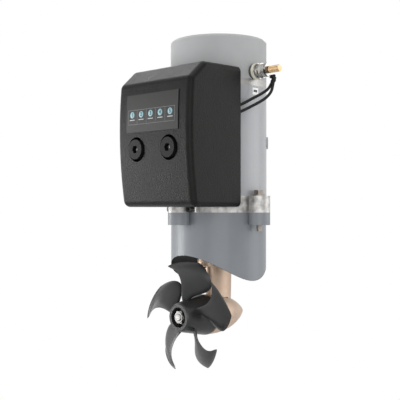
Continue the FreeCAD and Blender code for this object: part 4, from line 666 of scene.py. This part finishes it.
def skin_patch(
    name: str, radius: float, azimuths: tuple[float, float], heights: tuple[float, float]
) -> Piece:
    """Makes a thin patch that lies on an upright cylinder about Z.

    Args:
        name: The name of the piece.
        radius: The radius of the cylinder under it.
        azimuths: Where it starts and ends round Z, in degrees from +X.
        heights: Its foot and head.

    Returns:
        The patch, which has no thickness yet.
    """
    deselect()
    span = math.radians(azimuths[1] - azimuths[0])
    bpy.ops.mesh.primitive_plane_add(size=1.0, location=(0, 0, 0))
    patch = bpy.context.object
    bpy.ops.object.mode_set(mode="EDIT")
    bpy.ops.mesh.select_all(action="SELECT")
    bpy.ops.mesh.delete(type="ONLY_FACE")
    bpy.ops.mesh.select_all(action="DESELECT")
    bpy.ops.object.mode_set(mode="OBJECT")
    for vertex in patch.data.vertices:
        vertex.select = vertex.co.x > 0
    bpy.ops.object.mode_set(mode="EDIT")
    bpy.ops.mesh.delete(type="VERT")
    bpy.ops.mesh.select_all(action="SELECT")
    # The plane's edge that is left stands half its size from the middle, at -0.5 along X.
    bpy.ops.transform.rotate(value=-math.pi / 2, orient_axis="X", center_override=(0, 0, 0))
    bpy.ops.transform.resize(value=(1.0, 1.0, heights[1] - heights[0]))
    bpy.ops.transform.translate(value=(radius + 0.5, 0.0, (heights[0] + heights[1]) / 2))
    bpy.ops.mesh.spin(steps=PATCH_STEPS, angle=-span, center=(0, 0, 0), axis=(0, 0, 1))
    bpy.ops.object.mode_set(mode="OBJECT")
    patch.rotation_euler.z = math.radians(azimuths[0])
    deselect()
    patch.select_set(True)
    bpy.context.view_layer.objects.active = patch
    return settle(patch, name)


# Sub-assemblies


@dataclass
class PanelMarks:
    """Five numbered discs, each over a bar in its ruled cell, on the control box's front panel."""

    shelf: FinishShelf
    face_curve: float = 500.8 * MM
    face_reach: float = 102.8 * MM
    curve_height: float = 206.8 * MM
    disc_radius: float = 3.5 * MM
    disc_height: float = 221.7 * MM
    disc_sides: tuple[float, ...] = (-31.6 * MM, -16.9 * MM, -1.6 * MM, 13.7 * MM, 29.4 * MM)
    cell_sides: tuple[float, float] = (-38.2 * MM, 36.6 * MM)
    cell_heights: tuple[float, float] = (211.2 * MM, 226.9 * MM)
    rule_width: float = 0.45 * MM
    bar_height: float = 216.2 * MM
    bar_size: tuple[float, float] = (8.2 * MM, 0.9 * MM)
    proud: float = 0.12 * MM
    number_size: float = 5.6 * MM
    number_weight: float = 0.14 * MM
    number_depth: float = 0.06 * MM

    def on_face(self, side: float, height: float) -> Point:
        """Gives the point of the panel's curved face at a side and a height.

        Args:
            side: How far it lies along X.
            height: How high it lies.

        Returns:
            The point.
        """
        centre = self.face_reach - self.face_curve
        reach = centre + math.sqrt(self.face_curve**2 - (height - self.curve_height) ** 2)
        return (side, -reach, height)

    def tilt(self, height: float) -> float:
        """Gives the panel face's tilt about X at a height."""
        return math.asin((height - self.curve_height) / self.face_curve)

    def discs(self) -> Piece:
        """Makes the five pale discs.

        Returns:
            The discs as one piece.
        """
        turn = (math.pi / 2 - self.tilt(self.disc_height), 0.0, 0.0)
        thick = 2 * self.proud
        made = []
        for side in self.disc_sides:
            centre = self.on_face(side, self.disc_height)
            made.append(rounded_disc(self.disc_radius, thick, self.proud / 2, centre, turn))
        return join(made, "panel_discs")

    def numbers(self) -> Piece:
        """Makes the plain numbers 1 to 5 on the discs.

        Returns:
            The numbers as one piece.
        """
        turn = (math.pi / 2 - self.tilt(self.disc_height), 0.0, 0.0)
        made = []
        for number, side in enumerate(self.disc_sides, start=1):
            across, ahead, height = self.on_face(side, self.disc_height)
            deselect()
            bpy.ops.object.text_add(location=(across, ahead - self.proud, height), rotation=turn)
            text = bpy.context.object
            text.data.body = str(number)
            text.data.size = self.number_size
            text.data.offset = self.number_weight
            text.data.align_x = "CENTER"
            text.data.align_y = "CENTER"
            text.data.extrude = self.number_depth
            bpy.ops.object.convert(target="MESH")
            made.append(bpy.context.object)
        return join(made, "panel_numbers")

    def rules(self) -> Piece:
        """Makes the thin lines round and between the five cells.

        Returns:
            The lines as one piece.
        """
        left, right = self.cell_sides
        foot, head = self.cell_heights
        middle = (foot + head) / 2
        thick = 2 * self.proud
        made = []
        for height in (foot, head):
            turn = (-self.tilt(height), 0.0, 0.0)
            centre = self.on_face((left + right) / 2, height)
            made.append(slab((right - left, thick, self.rule_width), self.proud / 2, centre, turn))
        turn = (-self.tilt(middle), 0.0, 0.0)
        cells = len(self.disc_sides)
        for passed in range(cells + 1):
            centre = self.on_face(left + (right - left) * passed / cells, middle)
            made.append(slab((self.rule_width, thick, head - foot), self.proud / 2, centre, turn))
        return join(made, "panel_rules")

    def bars(self) -> Piece:
        """Makes the short pale bar under each disc.

        Returns:
            The bars as one piece.
        """
        width, height = self.bar_size
        size = (width, 2 * self.proud, height)
        turn = (-self.tilt(self.bar_height), 0.0, 0.0)
        made = []
        for side in self.disc_sides:
            centre = self.on_face(side, self.bar_height)
            made.append(slab(size, self.proud / 2, centre, turn))
        return join(made, "panel_bars")

    def build(self) -> list[Piece]:
        """Makes and dresses the marks.

        Returns:
            The new pieces.
        """
        made = [self.discs(), self.numbers(), self.rules(), self.bars()]
        for piece, finish in zip(made, (DISC_BLUE, MARK_DARK, RULE_GREY, RULE_PALE)):
            self.shelf.put_on(piece, finish)
            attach(piece, "frame")
        return made


@dataclass
class PolarityLabel:
    """A small white label with a minus bar, on the motor below the battery stud."""

    shelf: FinishShelf
    skin: float = 55.0 * MM
    azimuths: tuple[float, float] = (-2.4, 7.7)
    heights: tuple[float, float] = (245.8 * MM, 253.4 * MM)
    bar_azimuths: tuple[float, float] = (-0.8, 5.6)
    bar_heights: tuple[float, float] = (248.7 * MM, 251.2 * MM)
    thickness: float = 0.15 * MM
    lift: float = 0.02 * MM

    def build(self) -> list[Piece]:
        """Makes and dresses the label.

        Returns:
            The new pieces.
        """
        inner = self.skin + self.lift
        outer = self.skin + self.thickness
        plate = skin_patch("polarity_label", inner, self.azimuths, self.heights)
        bar = skin_patch("polarity_bar", outer, self.bar_azimuths, self.bar_heights)
        for piece, finish in ((plate, LABEL_WHITE), (bar, LABEL_BLACK)):
            apply_modifier(piece, "SOLIDIFY", thickness=self.thickness, offset=0.0)
            self.shelf.put_on(piece, finish)
            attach(piece, "frame")
        return [plate, bar]


@dataclass
class BatteryStud:
    """The brass stud with its free thread cut, in place of the plain rod."""

    shelf: FinishShelf
    crest: float = 3.97 * MM
    core: float = 3.55 * MM
    pitch: float = 1.25 * MM
    depth: float = 0.77 * MM
    relief: float = 0.6 * MM
    tip: float = 0.8 * MM
    shoulder: float = 0.3 * MM
    turn_steps: int = 40
    spare_turns: int = 2
    smooth_angle: float = math.radians(35)

    def thread(self, middle: Vector, foot: float, head: float) -> Piece:
        """Winds the free thread.

        Args:
            middle: A point on the stud's axis.
            foot: Where the thread starts along X.
            head: Where it ends.

        Returns:
            The threaded rod, closed at both ends.
        """
        deselect()
        # The profile is a triangle whose sides are a pitch long, without its foot.
        bpy.ops.mesh.primitive_circle_add(
            vertices=3, radius=self.pitch / math.sqrt(3), fill_type="NOTHING", location=(0, 0, 0)
        )
        rod = bpy.context.object
        points = rod.data.vertices
        low = min(vertex.co.y for vertex in points)
        for vertex in points:
            vertex.select = False
        for edge in rod.data.edges:
            edge.select = all(points[index].co.y - low < WELD for index in edge.vertices)
        bpy.ops.object.mode_set(mode="EDIT")
        bpy.ops.mesh.select_mode(type="EDGE")
        bpy.ops.mesh.delete(type="EDGE")
        bpy.ops.mesh.select_all(action="SELECT")
        triangle_height = self.pitch * math.sqrt(3) / 2
        bpy.ops.transform.resize(value=(1.0, self.depth / triangle_height, 1.0))
        bpy.ops.object.mode_set(mode="OBJECT")
        rod.location.y = self.crest - max(vertex.co.y for vertex in rod.data.vertices)
        bpy.ops.object.transform_apply(location=True)
        apply_modifier(
            rod, "SCREW", axis="X", angle=2 * math.pi, screw_offset=self.pitch,
            steps=self.turn_steps, render_steps=self.turn_steps,
            iterations=math.ceil((head - foot) / self.pitch) + self.spare_turns,
            use_merge_vertices=True, merge_threshold=WELD, use_smooth_shade=False,
        )
        sides = [vertex.co.x for vertex in rod.data.vertices]
        rod.location = ((foot + head) / 2 - (min(sides) + max(sides)) / 2, middle.y, middle.z)
        bpy.ops.object.transform_apply(location=True)
        bpy.ops.object.mode_set(mode="EDIT")
        for spot, way in ((foot, -1), (head, 1)):
            bpy.ops.mesh.select_all(action="SELECT")
            bpy.ops.mesh.bisect(
                plane_co=(spot, middle.y, middle.z), plane_no=(way, 0, 0),
                use_fill=True, clear_outer=True,
            )
        bpy.ops.mesh.select_all(action="SELECT")
        bpy.ops.mesh.normals_make_consistent(inside=False)
        bpy.ops.object.mode_set(mode="OBJECT")
        return rod

    def build(self) -> list[Piece]:
        """Makes the stud: plain shank under the nuts, thread and turned tip.

        Returns:
            The new piece.
        """
        low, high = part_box("battery_stud")
        middle = (low + high) / 2
        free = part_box("stud_washers")[1].x + self.relief
        thread = self.thread(middle, free, high.x - self.tip)
        shank_end = free + self.relief
        deselect()
        bpy.ops.mesh.primitive_cylinder_add(
            vertices=ROUND_SIDES, radius=self.core, depth=shank_end - low.x, rotation=ALONG_X,
            location=((low.x + shank_end) / 2, middle.y, middle.z),
        )
        shank = bpy.context.object
        # The tip's cone starts inside the thread, half a tip before the thread ends.
        cone_length = 1.5 * self.tip
        deselect()
        bpy.ops.mesh.primitive_cone_add(
            vertices=ROUND_SIDES, radius1=self.crest - self.shoulder,
            radius2=self.crest - self.tip, depth=cone_length, rotation=ALONG_X,
            location=(high.x - cone_length / 2, middle.y, middle.z),
        )
        stud = join([thread, shank, bpy.context.object], "threaded_stud")
        bpy.ops.object.shade_smooth_by_angle(angle=self.smooth_angle)
        self.shelf.put_on(stud, BRASS)
        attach(stud, "frame")
        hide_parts("battery_stud")
        return [stud]


@dataclass
class TerminalBoot:
    """The rubber boot over the outer terminal, from its lead up past the washer to the stud."""

    shelf: FinishShelf
    radius: float = 1.95 * MM
    rise: float = 7.4 * MM
    cuff: float = 0.45 * MM
    cuff_height: float = 1.8 * MM
    edge: float = 0.8 * MM
    gap: float = 0.1 * MM
    lead_radius: float = 1.6 * MM

    def build(self) -> list[Piece]:
        """Makes the boot and the cuff at its foot.

        Returns:
            The new piece.
        """
        lead_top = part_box("sense_lead_lower")[1]
        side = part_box("stud_washers")[1].x + self.gap + self.radius
        behind = lead_top.y - self.lead_radius
        middle = (side, behind, lead_top.z + self.rise / 2)
        body = rounded_disc(self.radius, self.rise, self.edge, middle, UPRIGHT)
        foot = (side, behind, lead_top.z + self.cuff_height / 2)
        cuff = rounded_disc(self.radius + self.cuff, self.cuff_height, self.cuff, foot, UPRIGHT)
        boot = join([body, cuff], "terminal_boot")
        self.shelf.put_on(boot, BLACK_RUBBER)
        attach(boot, "frame")
        return [boot]


@dataclass
class SocketTips:
    """The bright screw ends at the bottom of the two cover screws' sockets."""

    shelf: FinishShelf
    radius: float = 2.3 * MM
    depth: float = 0.8 * MM
    socket: float = 4.0 * MM
    spread: float = 26.0 * MM

    def build(self) -> list[Piece]:
        """Makes both tips as one piece.

        Returns:
            The new piece.
        """
        low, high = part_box("cover_screws")
        floor = low.y + self.socket - self.depth / 2
        height = (low.z + high.z) / 2
        turn = (math.pi / 2, 0.0, 0.0)
        made = [
            rounded_disc(self.radius, self.depth, self.depth / 4, (side, floor, height), turn)
            for side in (-self.spread, self.spread)
        ]
        tips = join(made, "socket_tips")
        self.shelf.put_on(tips, NUT_STEEL)
        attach(tips, "frame")
        return [tips]


# Studio


@dataclass(frozen=True)
class SoftBox:
    """One area lamp that points at the thruster."""

    name: str
    place: Point
    aim: Point
    size: tuple[float, float]
    watts: float

    def build(self) -> None:
        """Adds the lamp to the scene."""
        data = bpy.data.lights.new(self.name, "AREA")
        data.shape = "RECTANGLE"
        data.size, data.size_y = self.size
        data.energy = self.watts
        lamp = bpy.data.objects.new(self.name, data)
        bpy.context.scene.collection.objects.link(lamp)
        lamp.location = self.place
        way = Vector(self.aim) - Vector(self.place)
        lamp.rotation_euler = way.to_track_quat("-Z", "Y").to_euler()


@dataclass
class Studio:
    """Pale floor, white surroundings, soft lamps and the camera."""

    floor_height: float = -0.22
    floor_radius: float = 12.0
    floor_sides: int = 96
    floor_shade: Colour = (0.93, 0.93, 0.93)
    floor_rough: float = 0.9
    lit_radius: float = 0.38
    fade_radius: float = 0.52
    ambient: float = 0.42
    camera_place: Point = (0.6921, -0.7079, 0.1185)
    camera_yaw: float = 45.59
    camera_pitch: float = 0.64
    lens: float = 77.4
    sensor: float = 36.0
    lamps: tuple[SoftBox, ...] = (
        SoftBox("window_left", (-1.0, -0.65, 0.02), (0.0, 0.0, 0.08), (0.5, 0.8), 8.0),
        SoftBox("window_front", (-0.3, -1.6, 0.6), (0.0, 0.0, 0.14), (1.4, 1.2), 4.0),
        SoftBox("window_camera", (1.2, -1.1, 0.3), (0.0, 0.0, 0.14), (1.2, 1.2), 7.0),
        SoftBox("window_back", (-1.0, 0.4, 0.95), (0.0, 0.0, 0.2), (0.6, 1.0), 2.5),
        SoftBox("window_right", (0.95, 1.0, 0.35), (0.0, 0.0, 0.16), (0.9, 1.4), 6.5),
        SoftBox("sky", (0.1, -0.1, 1.4), (0.0, 0.0, 0.2), (1.4, 1.4), 7.0),
    )

    def white_ray(self, tree: Tree) -> Socket:
        """Adds a value that is 1 for camera, glossy and transmission rays.

        Args:
            tree: The node tree of the world or of a material.

        Returns:
            The value.
        """
        path = tree.nodes.new("ShaderNodeLightPath")
        white = path.outputs["Is Camera Ray"]
        for name in ("Is Glossy Ray", "Is Transmission Ray"):
            white = calculate(tree, "MAXIMUM", white, path.outputs[name])
        return white

    def world(self) -> None:
        """Makes the surroundings white to the eye and soft as a light."""
        world = bpy.data.worlds.new("studio")
        bpy.context.scene.world = world
        world.use_nodes = True
        tree = world.node_tree
        background = tree.nodes["Background"]
        background.inputs["Color"].default_value = (1.0, 1.0, 1.0, 1.0)
        level = tree.nodes.new("ShaderNodeMapRange")
        level.inputs["To Min"].default_value = self.ambient
        level.inputs["To Max"].default_value = 1.0
        tree.links.new(self.white_ray(tree), level.inputs["Value"])
        tree.links.new(level.outputs["Result"], background.inputs["Strength"])

    def floor(self) -> None:
        """Makes the floor: pale and shaded under the thruster, pure white further out."""
        deselect()
        bpy.ops.mesh.primitive_circle_add(
            vertices=self.floor_sides, radius=self.floor_radius, fill_type="NGON",
            location=(0.0, 0.0, self.floor_height),
        )
        floor = settle(bpy.context.object, "studio_floor")
        made, tree = new_material("floor_white")
        shader = tree.nodes["Principled BSDF"]
        shader.inputs["Base Color"].default_value = (*self.floor_shade, 1.0)
        shader.inputs["Roughness"].default_value = self.floor_rough
        glow = tree.nodes.new("ShaderNodeEmission")
        fade = tree.nodes.new("ShaderNodeMapRange")
        fade.interpolation_type = "SMOOTHSTEP"
        fade.inputs["From Min"].default_value = self.lit_radius
        fade.inputs["From Max"].default_value = self.fade_radius
        tree.links.new(distance(tree, (1.0, 1.0, 0.0)), fade.inputs["Value"])
        share = calculate(tree, "MULTIPLY", fade.outputs["Result"], self.white_ray(tree))
        show_mix(tree, share, shader.outputs["BSDF"], glow.outputs["Emission"])
        floor.data.materials.append(made)

    def camera(self) -> None:
        """Adds the camera and makes it the scene's own."""
        data = bpy.data.cameras.new("camera")
        data.lens = self.lens
        data.sensor_width = self.sensor
        camera = bpy.data.objects.new("camera", data)
        bpy.context.scene.collection.objects.link(camera)
        camera.location = self.camera_place
        pitch = math.radians(90.0 + self.camera_pitch)
        camera.rotation_euler = (pitch, 0.0, math.radians(self.camera_yaw))
        bpy.context.scene.camera = camera

    def build(self) -> None:
        """Sets up the whole studio."""
        self.world()
        self.floor()
        for lamp in self.lamps:
            lamp.build()
        self.camera()
        bpy.context.scene.view_settings.view_transform = "Standard"


def main() -> None:
    """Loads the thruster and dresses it."""
    logging.basicConfig(level=logging.INFO, format="%(message)s")
    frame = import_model()
    shelf = FinishShelf()
    for name, node in frame["nodes"].items():
        shelf.put_on(node, NODE_FINISHES[name])
    LOG.info("dressed %d nodes", len(frame["nodes"]))
    for detail in (PanelMarks, PolarityLabel, BatteryStud, TerminalBoot, SocketTips):
        for piece in detail(shelf).build():
            LOG.info("made %s with %d faces", piece.name, len(piece.data.polygons))
    Studio().build()


if __name__ == "__main__":
    main()
